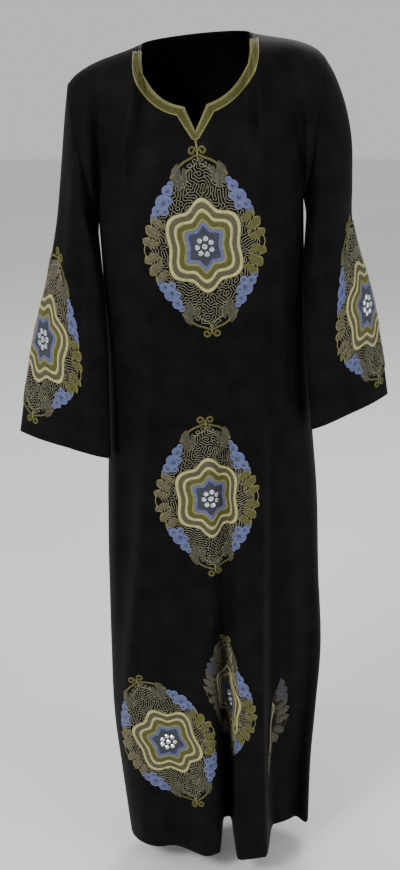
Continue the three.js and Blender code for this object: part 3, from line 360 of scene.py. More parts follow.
def armhole_way(side):
    top, low = armholes[side]
    way = unit(np.cross(top - low, [0, 1, 0]))
    return way if way[0] * side > 0 else -way


def sleeve_points(side, rounds, alongs):
    """A sleeve's points: round 0 is the outer edge, 0.25 the front, 0.5 the inner edge."""
    top, low = armholes[side]
    first = (0, abs(top[0]), top[1], top[2], abs(low[0]), low[1], low[2], ARMHOLE_HALF_DEPTH)
    rings = read_rows([first] + SLEEVE_ROWS[side], alongs)
    grid = []
    for ring in rings:
        outer, inner = ring[1:4] * [side, 1, 1], ring[4:7] * [side, 1, 1]
        turn, fullness = SLEEVE_TURN * ease(ring[0]), ring[7] + np.zeros_like(rounds)
        for place, width, start, depth in SLEEVE_FOLDS:
            shape = np.exp(-((rounds - place) / width) ** 2)
            fullness += depth * shape * ease((ring[0] - start) / FOLD_FADE)
        angle = 2 * np.pi * rounds
        forward = np.array([side * math.sin(turn), -math.cos(turn), SLEEVE_LIFT * ease(ring[0])])
        bulge = fullness * np.sin(angle)
        flatness = mix(1, SLEEVE_FLATNESS, ease(ring[0] / FLAT_FROM))
        grid.append((outer + inner) / 2 + (outer - inner) / 2 * np.cos(angle)[:, None]
                    + forward * (bulge * np.where(bulge > 0, flatness, 1))[:, None])
    return np.stack(grid) + armhole_way(side) * SLEEVE_GAP


print("left cuff:", sleeve_points(-1, np.array([0.0, 0.5]), [1.0])[0].round(0).tolist())

# %% [markdown]
# ## Creases
# The solids carry the large folds. Real crepe has many smaller ones as well: pulls from the
# armholes, soft lines beside the heavy folds and short dents over the embroidery, which is
# stiffer than the cloth. Each crease is a line as seen from the front or back, with a width
# and a depth of its own. Above 0 it stands out. None is like another, because even creases
# look like corrugated board.

# %% Listed creases
# depth, width, then x z of each point of the line
CREASES = {
    "front": [
        (3.2, 9, [(-150, -120), (-128, -190), (-112, -262)]),
        (-2.6, 7, [(-142, -150), (-118, -215), (-103, -290)]),
        (2.4, 7, [(-112, -86), (-104, -150), (-98, -215), (-92, -290)]),
        (-2.0, 6, [(-98, -110), (-92, -180), (-84, -250)]),
        (1.8, 8, [(-70, -250), (-66, -360), (-72, -470)]),
        (2.6, 8, [(152, -112), (138, -180), (126, -250)]),
        (-2.2, 7, [(146, -150), (131, -205), (119, -280)]),
        (1.6, 7, [(112, -100), (108, -170), (104, -240)]),
        (2.2, 8, [(128, -270), (134, -380), (140, -500)]),
        (-1.8, 7, [(142, -320), (148, -430), (150, -560)]),
        (1.7, 9, [(-36, -440), (-34, -560), (-44, -700)]),
        (-1.5, 8, [(34, -430), (30, -520), (32, -600)]),
        (2.0, 9, [(-120, -600), (-134, -760), (-142, -900)]),
        (1.8, 10, [(-66, -860), (-84, -980), (-92, -1060)]),
        (-1.9, 9, [(-50, -820), (-58, -940), (-66, -1030)]),
        (1.9, 8, [(84, -560), (90, -700), (94, -880)]),
        (-1.7, 7, [(96, -620), (102, -760), (106, -920)]),
        (2.1, 9, [(156, -700), (166, -880), (170, -1060)]),
        (-2.4, 9, [(150, -900), (158, -1060), (160, -1250)]),
        (1.6, 8, [(-96, -1290), (-98, -1350), (-97, -1410)]),
        (-1.8, 9, [(-10, -1270), (-12, -1340), (-14, -1410)]),
        (1.7, 7, [(98, -1180), (104, -1300), (108, -1410)]),
    ],
    "back": [
        (3.0, 9, [(-148, -110), (-126, -180), (-108, -270)]),
        (-2.3, 8, [(-132, -150), (-110, -220), (-98, -310)]),
        (2.8, 9, [(154, -100), (134, -190), (116, -280)]),
        (-2.1, 8, [(140, -150), (120, -220), (106, -320)]),
        (1.6, 9, [(-50, -60), (-46, -140), (-48, -230)]),
        (1.8, 9, [(56, -60), (52, -150), (56, -260)]),
        (2.4, 9, [(-6, -420), (-2, -640), (8, -860)]),
        (-2.0, 8, [(-112, -480), (-122, -700), (-126, -920)]),
        (2.2, 9, [(66, -560), (74, -760), (80, -980)]),
        (-2.2, 9, [(-52, -900), (-48, -1120), (-44, -1400)]),
        (2.0, 9, [(4, -1100), (12, -1260), (14, -1410)]),
        (1.8, 10, [(140, -1000), (152, -1200), (160, -1400)]),
    ],
    "sleeve_left": [
        (2.6, 8, [(-176, -150), (-190, -260), (-196, -380)]),
        (-2.2, 7, [(-168, -200), (-176, -320), (-180, -450)]),
        (3.0, 8, [(-160, -290), (-168, -420), (-172, -560)]),
        (-2.0, 7, [(-150, -370), (-154, -480), (-158, -590)]),
        (1.8, 8, [(-204, -480), (-212, -550), (-216, -620)]),
        (1.8, 7, [(-186, -500), (-190, -570), (-192, -630)]),
    ],
    "sleeve_right": [
        (2.6, 8, [(196, -120), (208, -230), (206, -330)]),
        (-2.0, 7, [(186, -170), (194, -280), (196, -400)]),
        (2.8, 8, [(180, -250), (190, -370), (198, -500)]),
        (-2.2, 7, [(184, -330), (200, -450), (212, -540)]),
        (2.0, 8, [(232, -410), (244, -480), (250, -550)]),
        (1.6, 7, [(206, -440), (214, -510), (220, -565)]),
    ],
}


def line_distance(px, pz, line):
    """How far each place is from a line of points, and how far along the line it is."""
    line = np.asarray(line, float)
    best, along = np.full(px.shape, 1e9), np.zeros(px.shape)
    for k, (a, b) in enumerate(zip(line[:-1], line[1:])):
        d = b - a
        t = np.clip(((px - a[0]) * d[0] + (pz - a[1]) * d[1]) / (d @ d), 0, 1)
        gap = np.hypot(px - a[0] - t * d[0], pz - a[1] - t * d[1])
        along = np.where(gap < best, (k + t) / (len(line) - 1), along)
        best = np.minimum(best, gap)
    return best, along


print("creases:", {name: len(rows) for name, rows in CREASES.items()})

# %% [markdown]
# ## Sheets of cloth
# A sheet is a fine grid of points with the way out of the cloth at each of them. Everything
# that is sewn on reads its place from the same grid, so it follows every crease.

# %% The sheet grids
# how far from a crease's ends it has its full depth, as a share of its length
CREASE_FADE = 0.28


def blend(grid, i, n, j, a, b):
    """A grid between its columns i and n and its rows j and j + 1."""
    return mix(mix(grid[j, i], grid[j, n], a), mix(grid[j + 1, i], grid[j + 1, n], a), b)


class Sheet:
    """A grid of points and the way out of the cloth at each of them."""

    def __init__(self, points, closed, outwards):
        self.points, self.closed, self.outwards = points, closed, outwards
        self.find_ways()

    def find_ways(self):
        p = self.points
        if self.closed:
            across = np.roll(p, -1, 1) - np.roll(p, 1, 1)
        else:
            across = np.gradient(p, axis=1)
        self.ways = unit(np.cross(across, np.gradient(p, axis=0)) * self.outwards)

    def crease(self, rows, share):
        """Press the listed creases in, each at a share of its depth."""
        x, z = self.points[..., 0], self.points[..., 2]
        depth = np.zeros(x.shape)
        for height, width, line in rows:
            gap, along = line_distance(x, z, line)
            ends = ease(np.minimum(along, 1 - along) / CREASE_FADE)
            depth += height * np.exp(-(gap / width) ** 2) * ends
        self.points = self.points + self.ways * (depth * share)[..., None]
        self.find_ways()

    def at(self, column, row, height):
        """Points at fractional grid places, lifted off the cloth by a height."""
        rows, count = self.points.shape[:2]
        j = np.clip(np.floor(row).astype(int), 0, rows - 2)
        i = np.floor(column).astype(int)
        if not self.closed:
            i = np.clip(i, 0, count - 2)
        a, b = (column - i)[..., None], np.clip(row - j, 0, 1)[..., None]
        spot = i % count, (i + 1) % count, j, a, b
        ways = unit(blend(self.ways, *spot))
        return blend(self.points, *spot) + ways * np.asarray(height)[..., None]


def spaced(start, end, step, length):
    return np.linspace(start, end, round(length / step) + 1)


# Distances from the lower edge of the rows that shape a turned hem.
HEM_DROPS = np.array([18, 15.5, 14.2, 13, 11.8, 10.5, 7, 3.5, 1.2, 0])
SKIRT_LENGTH, YOKE_LENGTH, SLEEVE_LENGTH = UNDERARM_LEVEL - HEM_LEVEL, 300, 560
HEM_ROOM, SLEEVE_COLUMNS, HEM_FROM = 22, 120, 0.955
# name, columns, step between rows, and the way out of the cloth along Y
PANELS = [("front", 126, 5.6, -1), ("back", 96, 6.5, 1)]


def panel_rows(step):
    skirt = 1 + spaced(0, 1 - HEM_ROOM / SKIRT_LENGTH, step, SKIRT_LENGTH)
    hem = 2 - HEM_DROPS / SKIRT_LENGTH
    return np.concatenate([spaced(0, 1, step, YOKE_LENGTH)[:-1], skirt, hem])


sheets = {}
for face, columns, step, outwards in PANELS:
    points = panel_points(face, np.linspace(0, 1, columns + 1), panel_rows(step))
    sheets[face] = Sheet(points, False, outwards)
    sheets[face].crease(CREASES[face], 1)
rounds = np.linspace(0, 1, SLEEVE_COLUMNS, endpoint=False)
hem = 1 - HEM_DROPS[1:] / SLEEVE_LENGTH
alongs = np.unique(np.concatenate([spaced(0, HEM_FROM, 5, 480), hem]))
# Only the front half of a sleeve has creases.
front_share = ease(np.sin(2 * np.pi * rounds) / 0.4)
for name, side in (("sleeve_left", -1), ("sleeve_right", 1)):
    sheets[name] = Sheet(sleeve_points(side, rounds, alongs), True, side)
    sheets[name].crease(CREASES[name], front_share)
print({name: sheet.points.shape[:2] for name, sheet in sheets.items()})

# %% [markdown]
# ## From a grid to a piece of cloth
# Cloth has two faces and a folded edge. The inner face is the outer one moved in, the hem is a
# double turn and so is thicker, and an extra ring of points rounds each edge off.

# %% Cloth mesh
CLOTH, HEM_TURN, HEM_EXTRA, BEAD, STITCH_DENT = 1.2, 13.0, 0.9, 0.35, 0.35


def new_object(name, verts, faces, materials, face_material=None, uv=None, smooth=True):
    mesh = bpy.data.meshes.new(name)
    mesh.from_pydata((np.asarray(verts) * MM).tolist(), [], [list(f) for f in faces])
    for material in materials:
        mesh.materials.append(material)
    if face_material is not None:
        mesh.polygons.foreach_set("material_index", np.asarray(face_material, dtype=np.int32))
    if uv is not None:
        layer = mesh.uv_layers.new(name="thread")
        corners = np.zeros(len(mesh.loops), dtype=np.int32)
        mesh.loops.foreach_get("vertex_index", corners)
        layer.data.foreach_set("uv", np.asarray(uv)[corners].astype(np.float32).ravel())
    mesh.polygons.foreach_set("use_smooth", np.full(len(mesh.polygons), smooth))
    mesh.validate()
    obj = bpy.data.objects.new(name, mesh)
    bpy.context.scene.collection.objects.link(obj)
    return obj


def ready(obj, slot, *nodes):
    """Hide the nodes that a piece stands for and attach it to the body it rides on; slot is not
    used.
    """
    if nodes:
        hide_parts(*nodes)
    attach(obj, "root")


def grid_faces(rows, columns, close_rows=False, close_columns=False):
    """Quads over a grid of points, which may close on itself either way."""
    j, i = np.meshgrid(np.arange(rows - (not close_rows)), np.arange(columns - (not close_columns)),
                       indexing="ij")
    here, below, n = j * columns, (j + 1) % rows * columns, (i + 1) % columns
    return np.stack([here + i, here + n, below + n, below + i], -1).reshape(-1, 4)


def turned(faces, flip):
    return faces[:, ::-1] if flip else faces


def cloth_object(sheet, name, material):
    rows, columns = sheet.points.shape[:2]
    rise = np.linalg.norm(sheet.points - sheet.points[-1:], axis=2)[..., None]
    thick = CLOTH + HEM_EXTRA * ease((HEM_TURN + 1 - rise) / 1.5)
    stitched = STITCH_DENT * np.exp(-((rise - HEM_TURN) / 0.9) ** 2)
    outer, inner = sheet.points - sheet.ways * stitched, sheet.points - sheet.ways * thick
    middle, count = (outer + inner) / 2, rows * columns
    flip = sheet.outwards > 0
    quads = grid_faces(rows, columns, close_columns=sheet.closed)
    faces = [turned(quads, not flip), turned(quads + count, flip)]
    verts = [outer.reshape(-1, 3), inner.reshape(-1, 3)]
    index = np.arange(count).reshape(rows, columns)
    if sheet.closed:
        loops = [(index[0], middle[0], middle[1], True), (index[-1], middle[-1], middle[-2], False)]
    else:
        ring = np.concatenate([index[0], index[1:, -1], index[-1, -2::-1], index[-2:0:-1, 0]])
        near_j = np.clip(ring // columns, 1, rows - 2)
        near_i = np.clip(ring % columns, 1, columns - 2)
        loops = [(ring, middle.reshape(-1, 3)[ring], middle[near_j, near_i], True)]
    start = 2 * count
    for ring, edge, inside, forward in loops:
        verts.append(edge + unit(edge - inside) * BEAD)
        tracks = [ring, start + np.arange(len(ring)), ring + count]
        for near, far in zip(tracks, tracks[1:]):
            band = np.stack([near, np.roll(near, -1), np.roll(far, -1), far], 1)
            faces.append(turned(band, forward == flip))
        start += len(ring)
    faces = np.concatenate(faces).tolist()
    print(name, "has", len(faces), "faces")
    return new_object(name, np.concatenate(verts), faces, [material])

# %% [markdown]
# ## Black crepe
# Crepe is woven from hard-twisted yarn, so its face is a fine pebble with no shine of its own,
# and its folds catch only a soft, slightly warm light. Noise at three scales gives the pebble,
# the thick places of the yarn and the uneven dye. A little sheen stands for the fibre ends.

# %% Material helpers
def principled(name, base, roughness, **more):
    """A new material, its node tree and its shader; more names sockets of the shader."""
    material = bpy.data.materials.new(name)
    material.use_nodes = True
    shader = material.node_tree.nodes["Principled BSDF"]
    more.update({"Base Color": (*base, 1), "Roughness": roughness, "Sheen Roughness": 0.45})
    for socket, value in more.items():
        shader.inputs[socket].default_value = value
    return material, material.node_tree, shader


def texture(tree, kind, place, **settings):
    node = tree.nodes.new("ShaderNodeTex" + kind)
    for socket, value in settings.items():
        node.inputs[socket].default_value = value
    tree.links.new(place, node.inputs["Vector"])
    return node.outputs["Fac"]


def object_place(tree):
    return tree.nodes.new("ShaderNodeTexCoord").outputs["Object"]


def colour_ramp(tree, source, shader, low, high, start=0.35, end=0.65):
    """Colour the shader by a pattern, from a low colour to a high one."""
    ramp = tree.nodes.new("ShaderNodeValToRGB")
    for element, position, colour in zip(ramp.color_ramp.elements, (start, end), (low, high)):
        element.position, element.color = position, (*colour, 1)
    tree.links.new(source, ramp.inputs["Fac"])
    tree.links.new(ramp.outputs["Color"], shader.inputs["Base Color"])


def bumps(tree, shader, *layers):
    """Layers of relief on a shader: a pattern, its strength and its distance each."""
    under = None
    for source, strength, distance in layers:
        node = tree.nodes.new("ShaderNodeBump")
        node.inputs["Strength"].default_value = strength
        node.inputs["Distance"].default_value = distance
        tree.links.new(source, node.inputs["Height"])
        if under:
            tree.links.new(under.outputs["Normal"], node.inputs["Normal"])
        under = node
    tree.links.new(under.outputs["Normal"], shader.inputs["Normal"])

# %% [markdown]
# ## The crepe itself
# The base is almost black and slightly warm. The pebble is only relief, far too fine to model.

# %% Crepe
def make_crepe():
    material, tree, shader = principled("black_crepe", (0.0035, 0.003, 0.003), 0.70, **{
        "Sheen Weight": 0.018, "Sheen Tint": (1.0, 0.84, 0.78, 1), "Specular IOR Level": 0.07})
    place = object_place(tree)
    dye = texture(tree, "Noise", place, Scale=26.0, Detail=3.0)
    pebble = texture(tree, "Noise", place, Scale=900.0, Detail=3.0, Roughness=0.6)
    slub = texture(tree, "Noise", place, Scale=160.0, Detail=2.0)
    colour_ramp(tree, dye, shader, (0.0018, 0.0015, 0.0017), (0.0044, 0.0034, 0.0035))
    bumps(tree, shader, (slub, 0.25, 0.0006), (pebble, 0.5, 0.0003))
    return material


crepe = make_crepe()
print("crepe nodes:", len(crepe.node_tree.nodes))

# %% [markdown]
# ## Four pieces of cloth
# Front and back are sewn together at the shoulders and down both sides, and each sleeve into
# its armhole.


for name, sheet in sheets.items():
    piece = cloth_object(sheet, "cloth_" + name, crepe)
    ready(piece, "crepe", name)

# %% [markdown]
# ## Where a medallion lies
# A medallion is drawn once, flat, and then laid on the cloth like a patch. Its chart says
# which grid place of the sheet lies under each flat place: the upright axis keeps its height
# as seen from the front, and widths are measured along the cloth, so a medallion that meets
# a pleat follows it inside.

# %% Charts
HALF_WIDTH, HALF_HEIGHT, CHART_STEP = 95, 147, 3.0
CHART_P, CHART_Q = np.arange(-114, 115, CHART_STEP), np.arange(-165, 166, CHART_STEP)
# The search for a place: rounds, the step that measures the slope, and the longest move.
SEARCH_ROUNDS, SEARCH_STEP, LONGEST_MOVE = 12, 0.2, 1.5
# flat places left and right of everything that is stitched
FAR_LEFT, FAR_RIGHT = -200, 200


class Chart:
    """Where each place of a flat medallion lies on a sheet's grid."""

    def __init__(self, sheet, columns, rows, size, clip=FAR_LEFT):
        self.sheet, self.columns, self.rows, self.size, self.clip = sheet, columns, rows, size, clip

    def lay(self, p, q, height):
        a = np.clip((p * self.size - CHART_P[0]) / CHART_STEP, 0, len(CHART_P) - 1.001)
        b = np.clip((q * self.size - CHART_Q[0]) / CHART_STEP, 0, len(CHART_Q) - 1.001)
        i, j = a.astype(int), b.astype(int)
        spot = [blend(grid, i, i + 1, j, a - i, b - j) for grid in (self.columns, self.rows)]
        return self.sheet.at(*spot, height)


def find_places(sheet, x, z, last_row):
    """Grid places of a sheet that show at x and z from the front."""
    grid = sheet.points[:last_row]
    gx, gz = grid[..., 0].ravel(), grid[..., 2].ravel()
    near = np.array([np.argmin((gx - a) ** 2 + (gz - b) ** 2) for a, b in zip(x, z)])
    row, column = (near // grid.shape[1]).astype(float), (near % grid.shape[1]).astype(float)
    for _ in range(SEARCH_ROUNDS):
        here = sheet.at(column, row, 0.0)
        by_column = (sheet.at(column + SEARCH_STEP, row, 0.0) - here) / SEARCH_STEP
        by_row = (sheet.at(column, row + SEARCH_STEP, 0.0) - here) / SEARCH_STEP
        miss_x, miss_z = x - here[:, 0], z - here[:, 2]
        whole = by_column[:, 0] * by_row[:, 2] - by_column[:, 2] * by_row[:, 0]
        whole = np.where(np.abs(whole) < 1e-3, 1e-3, whole)
        column += np.clip((miss_x * by_row[:, 2] - miss_z * by_row[:, 0]) / whole,
                          -LONGEST_MOVE, LONGEST_MOVE)
        row += np.clip((by_column[:, 0] * miss_z - by_column[:, 2] * miss_x) / whole,
                       -LONGEST_MOVE, LONGEST_MOVE)
        row, column = np.clip(row, 0, last_row), np.clip(column, 0, grid.shape[1] - 1)
    return column, row


def lean_places(lean, drag=0):
    p, q = np.meshgrid(CHART_P, CHART_Q)
    c, s = math.cos(math.radians(lean)), math.sin(math.radians(lean))
    return p * c - q * s, (q - drag * p) * c + p * s


def flat_chart(sheet, x, z, lean, size):
    across, up = lean_places(lean)
    places = find_places(sheet, x + across.ravel(), z + up.ravel(), 120)
    return Chart(sheet, *(g.reshape(across.shape) for g in places), size)


def wrapped_chart(sheet, axis, z, size, lean=0, drag=0, clip=FAR_LEFT):
    """A chart with its widths measured along the cloth, from an upright axis: at an x on a
    panel, and at a share of the way round on a sleeve."""
    across, up = lean_places(lean, drag)
    total = sheet.points.shape[1]
    if sheet.closed:
        count = np.arange(-total // 2, total // 2 + 1)
        ring, across = sheet.points[:, count % total], -sheet.outwards * across
        middle = np.full(len(ring), axis * total)
    else:
        count, ring = np.arange(total), sheet.points
        middle = np.array([np.interp(axis, row[:, 0], count) for row in ring])
    arcs = np.array([run_lengths(row) for row in ring])
    axis_z = np.array([np.interp(c, count, row[:, 2]) for c, row in zip(middle, ring)])
    start = np.array([np.interp(c, count, row) for c, row in zip(middle, arcs)])
    rows = np.interp(-(z + up), -axis_z, np.arange(len(axis_z)))
    columns = np.zeros(rows.shape)
    for spot in np.ndindex(rows.shape):
        low = min(int(rows[spot]), len(arcs) - 2)
        pair = [np.interp(start[r] + across[spot], arcs[r], count) for r in (low, low + 1)]
        columns[spot] = mix(*pair, rows[spot] - low)
    return Chart(sheet, columns, rows, size, clip)


front = sheets["front"]
charts = {
    "chest": flat_chart(front, 13.6, -276, 4.9, 0.97),
    "thigh": wrapped_chart(front, 24, -690, 0.98, 4),
    "hem_left": wrapped_chart(front, -49, -1170, 1.0, 24),
    "hem_middle": wrapped_chart(front, 61, -1091, 0.92, 8, 0.5),
    "hem_right": wrapped_chart(front, 120, -1156, 1.0, -10, clip=42),
    "sleeve_left": wrapped_chart(sheets["sleeve_left"], 0.125, -444, 0.98),
    "sleeve_right": wrapped_chart(sheets["sleeve_right"], 0.115, -389, 0.93),
}
for name, chart in charts.items():
    middle = chart.lay(np.array([max(chart.clip, 0.0)]), np.array([0.0]), 0.0)[0]
    print(name, "middle at", middle.round(0).tolist())

# %% [markdown]
# ## Stitching
# Machine embroidery is thread laid side by side: a narrow column of satin stitches makes a
# cord, a wide one a leaf. So nearly everything here is one kind of strip, a rounded ridge
# that follows a line, with its edges sunk into the ground. Its thread coordinate counts
# millimetres along the line, and the material puts the single stitches across it.

# %% Strips and fills
# A strip's points run along it first and across it second.
STRIP_ORDER, DISC_HOLE = [0, 3, 2, 1], 0.08


class Stitching:
    """Threads of one flat design: places p and q with a height, faces and thread numbers."""

    def __init__(self, sunk=0.5):
        self.verts, self.uv, self.faces, self.threads = [], [], [], []
        self.sunk, self.count = sunk, 0

    def add(self, places, h, u, v, thread, closed=True):
        """A grid of places with its heights and thread coordinates."""
        size = places.shape[:2]
        h, u, v = (np.broadcast_to(g, size).ravel() for g in (h, u, v))
        self.verts.append(np.column_stack([places.reshape(-1, 2), h]))
        self.uv.append(np.column_stack([u, v]))
        self.add_faces(grid_faces(*size, closed)[:, STRIP_ORDER], thread)
        self.count += len(h)

    def add_faces(self, faces, thread):
        self.faces.append(faces + self.count)
        self.threads.append(np.full(len(faces), thread))

    def strip(self, line, width, height, base, thread, across=5, closed=False):
        """A rounded ridge along a line: its width, its height and the height it starts from."""
        line = np.asarray(line, float)
        if closed:
            way = np.roll(line, -1, 0) - np.roll(line, 1, 0)
        else:
            way = np.gradient(line, axis=0)
        normal = unit(np.stack([-way[:, 1], way[:, 0]], 1))
        s = np.linspace(-1, 1, across)
        v = s * np.broadcast_to(width, len(line))[:, None] / 2
        dome = np.sqrt(np.maximum(1 - s * s, 0))
        h = base + height * dome - self.sunk * (1 - dome ** 0.5)
        self.add(line[:, None] + normal[:, None] * v[..., None], h, run_lengths(line)[:, None], v,
                 thread, closed)

    def fill(self, outer, inner, height, base, thread, across):
        """A closed band between two outlines of the same number of points."""
        s = np.linspace(0, 1, across)
        places = mix(outer[:, None], inner[:, None], s[None, :, None])
        dome = np.sqrt(np.maximum(1 - (2 * s - 1) ** 2, 0)) ** 0.8
        self.add(places, base + height * dome, run_lengths(outer)[:, None],
                 np.linalg.norm(places - outer[:, None], axis=2), thread)

    def disc(self, centre, radius, height, base, thread, sides, rings):
        """A low round button of thread."""
        angle = turns(sides)[:, None]
        r = np.linspace(1, DISC_HOLE, rings)
        places = centre + around(angle, r) * radius
        h = base - 0.5 * (r == 1) + height * np.sqrt(1 - r * r * 0.98)
        last = np.arange(sides) * rings + rings - 1
        cap = np.array([last[[0, k, k + 1, k + 2]] for k in range(1, sides - 2, 2)])
        self.add_faces(cap, thread)
        self.add(places, h, angle * radius, r * radius, thread)

    def lay(self, name, place, clip=FAR_LEFT, painted_shade_up_to=FAR_LEFT):
        """The design as an object, on the places that a function gives for p, q and height."""
        lists = (self.verts, self.uv, self.faces, self.threads)
        verts, uv, faces, marks = map(np.concatenate, lists)
        p, q, h = verts.T
        spots = place(p, q, h)
        outwards = place(p, q, h + 1.0) - spots
        keep = (p[faces] >= clip).all(1)
        faces, marks = faces[keep], marks[keep]
        # Painted shade: left of that flat place each thread is swapped for its darker stand-in.
        marks = np.where(p[faces].mean(1) < painted_shade_up_to, PAINTED_SHADE_THREAD[marks], marks)
        a, b, c = (spots[faces[:, k]] for k in range(3))
        looks_in = (np.cross(b - a, c - a) * outwards[faces[:, 0]]).sum(1).mean() <= 0
        used, faces = np.unique(turned(faces, looks_in), return_inverse=True)
        faces = faces.reshape(-1, 4)
        print(name, "faces:", len(faces))
        return new_object(name, spots[used], faces.tolist(), [crepe] + threads, marks, uv[used])


(GROUND, CREAM, TAUPE, OLIVE, SAGE, PALE_BLUE, DEEP_BLUE, SLATE, SCROLL, LIGHT_BLUE,
 FEATHER) = range(11)
# Painted shade: the darker thread that takes each thread's place where a pleat shades it.
PAINTED_SHADE_THREAD = np.arange(FEATHER + 1)
PAINTED_SHADE_THREAD[[CREAM, TAUPE, OLIVE, SAGE]] = SCROLL, FEATHER, FEATHER, TAUPE
PAINTED_SHADE_THREAD[[PALE_BLUE, DEEP_BLUE, LIGHT_BLUE, SCROLL]] = SLATE, SLATE, TAUPE, TAUPE
print("threads:", FEATHER)

# %% [markdown]
# ## The outline and the rosette
# The medallion is a lozenge with soft scallops, and a six-lobed rosette sits in its middle.
# The rosette's rings are one formula. Going inwards each ring is smaller and its lobes are
# more pointed, until the innermost is a six-pointed star. Cords and filled bands alternate.

# %% Outline and rings
POINTED, SCALLOP, LOBES_SPREAD = 1.36, 0.03, 0.10


def outline_radius(angle, scallop=SCALLOP):
    wide, tall = np.abs(np.cos(angle)) / HALF_WIDTH, np.abs(np.sin(angle)) / HALF_HEIGHT
    plain = (wide ** POINTED + tall ** POINTED) ** (-1 / POINTED)
    return plain * (1 - scallop + scallop * np.cos(10 * angle))


def outline_line(angle, share, scallop=SCALLOP):
    return around(angle, outline_radius(angle, scallop) * share)


def ring_line(angle, half_wide, half_tall, depth, point):
    turn = angle - np.pi / 2 - LOBES_SPREAD * np.sin(2 * angle)
    soft, sharp = (1 - np.cos(6 * turn)) / 2, np.abs(np.sin(3 * turn))
    lobe = 1 - 2 * depth * mix(soft, sharp, point)
    return around(angle, half_wide * lobe, half_tall * lobe)


# half width, half height, depth of the lobes, how pointed they are
RINGS = [(64.5, 72.5, 0.086, 0.0), (59.2, 67.0, 0.087, 0.0), (51.5, 57.5, 0.096, 0.10),
         (47.0, 52.0, 0.102, 0.20), (38.8, 43.0, 0.115, 0.45), (34.6, 38.6, 0.124, 0.60),
         (28.4, 31.5, 0.130, 0.70)]
SKIRT_RING, CLEAR_RING = (65.2, 73.2, 0.085, 0.0), (67.0, 75.0, 0.086, 0.0)
# thread, height and points across of the band inside each ring
BANDS = [(CREAM, 1.15, 7), (TAUPE, 0.4, 6), (CREAM, 1.0, 7), (OLIVE, 0.45, 6), (SAGE, 0.8, 6),
         (PALE_BLUE, 0.5, 6)]
ROSETTE_BASE, RING_POINTS = 1.45, 216


def stitch_rosette(design):
    lines = [ring_line(turns(RING_POINTS), *ring) for ring in RINGS]
    star = lines[-1]
    design.fill(ring_line(turns(RING_POINTS), *SKIRT_RING), lines[0], 0.0, 0.6, CREAM, 2)
    for (thread, height, across), outer, inner in zip(BANDS, lines, lines[1:]):
        design.fill(outer, inner, height, ROSETTE_BASE, thread, across)
    for outer, inner, across in ((1, 0.66, 4), (0.66, 0.02, 6)):
        design.fill(star * outer, star * inner, 0.2, ROSETTE_BASE - 0.05, SLATE, across)
    # Single stitches in zigzag on the taupe band, and a vein on the olive one.
    zigzag = np.where((np.arange(RING_POINTS) // 2) % 2, 0.34, 0.66)[:, None]
    design.strip(mix(lines[1], lines[2], zigzag), 0.7, 0.22, ROSETTE_BASE + 0.27, OLIVE, 3, True)
    design.strip(mix(lines[3], lines[4], 0.5), 0.9, 0.25, ROSETTE_BASE + 0.3, TAUPE, 3, True)


reach = np.abs(ring_line(turns(RING_POINTS), *RINGS[0])).max(0)
print("rosette, mm across and up:", (2 * reach).round().tolist())

# %% [markdown]
# ## The border
# Four kinds of ornament share the edge: clusters of round blue scallops on the four slanting
# sides, notched leaves at the two side tips, grey-brown feathers under the top and bottom
# tips, and paired curls at the tips themselves. One quarter is drawn, and mirrored.

# %% Border ornaments
LINE_STEP = 1.6


def spiral(centre, radius, end_radius, start, turn, steps=30):
    angle = np.radians(np.linspace(start, start + turn, steps))
    r = np.linspace(radius, end_radius, steps)
    return centre + around(angle, r)


def even_line(line, count):
    """As many points as count says of a line's length, at even steps along the line."""
    lengths = run_lengths(line)
    places = np.linspace(0, lengths[-1], count(lengths[-1]))
    return np.stack([np.interp(places, lengths, line[:, c]) for c in (0, 1)], 1)


def smooth_line(points):
    """A rounded line through a few points, at even steps."""
    rows = np.column_stack([np.arange(len(points)), points])
    line = read_rows(rows, np.linspace(0, len(points) - 1, 12 * len(points)))[:, 1:]
    return even_line(line, lambda length: max(4, int(length / LINE_STEP)))


# angle on the outline in degrees, share of its radius, radius of the scallop
BLUE_SCALLOPS = [(65.5, 0.93, 4.4), (35.5, 0.95, 4.6), (60.5, 0.925, 8.0), (41.5, 0.935, 7.4),
                 (51.0, 0.905, 11.2), (56.5, 0.83, 5.6), (46.0, 0.82, 6.2)]
# angle on the outline, share at the root, length, width, turn from straight outwards
SIDE_LEAVES = [(29, 0.76, 23, 15, 18), (17.5, 0.75, 26, 17, 12), (5.5, 0.75, 25, 16, 4.8)]
FEATHERS = [(67.5, 0.86, 32, 16, 72), (70, 0.76, 27, 13, 60), (77, 0.76, 22, 10, 52)]
# angle on the outline, size, angle at which the scroll starts
SMALL_SCROLLS = [(75, 4.6, 200), (31, 4.4, 120), (11, 4.4, 60)]
CAP = smooth_line([(1.5, 133), (10, 129), (19, 125.5), (27, 120.5), (33.5, 113), (36.5, 104),
                   (33, 98), (28, 100), (28.5, 105)])
INNER_CAP = smooth_line([(1, 122), (9, 117.5), (17, 112), (22, 104), (20.5, 97), (16, 98.5)])
CURL = spiral((8.0, 139), 5.6, 2.6, 195, -400)
# The scroll that caps a tip and the curl that ends it: width, height, base, thread, points across
TIP_STRIPS = [(CAP, 3.8, 0.75, 0.6, OLIVE, 5), (CAP, 1.1, 0.4, 1.25, SAGE, 3),
              (INNER_CAP, 1.5, 0.8, 0.55, SCROLL, 4), (CURL, 3.6, 0.95, 0.55, OLIVE, 5),
              (CURL, 1.1, 0.4, 1.4, SAGE, 3)]
# where the outline has a sage rim, in degrees
RIMS = [(-36, 36), (68, 84), (96, 112), (144, 216), (248, 264), (276, 292)]


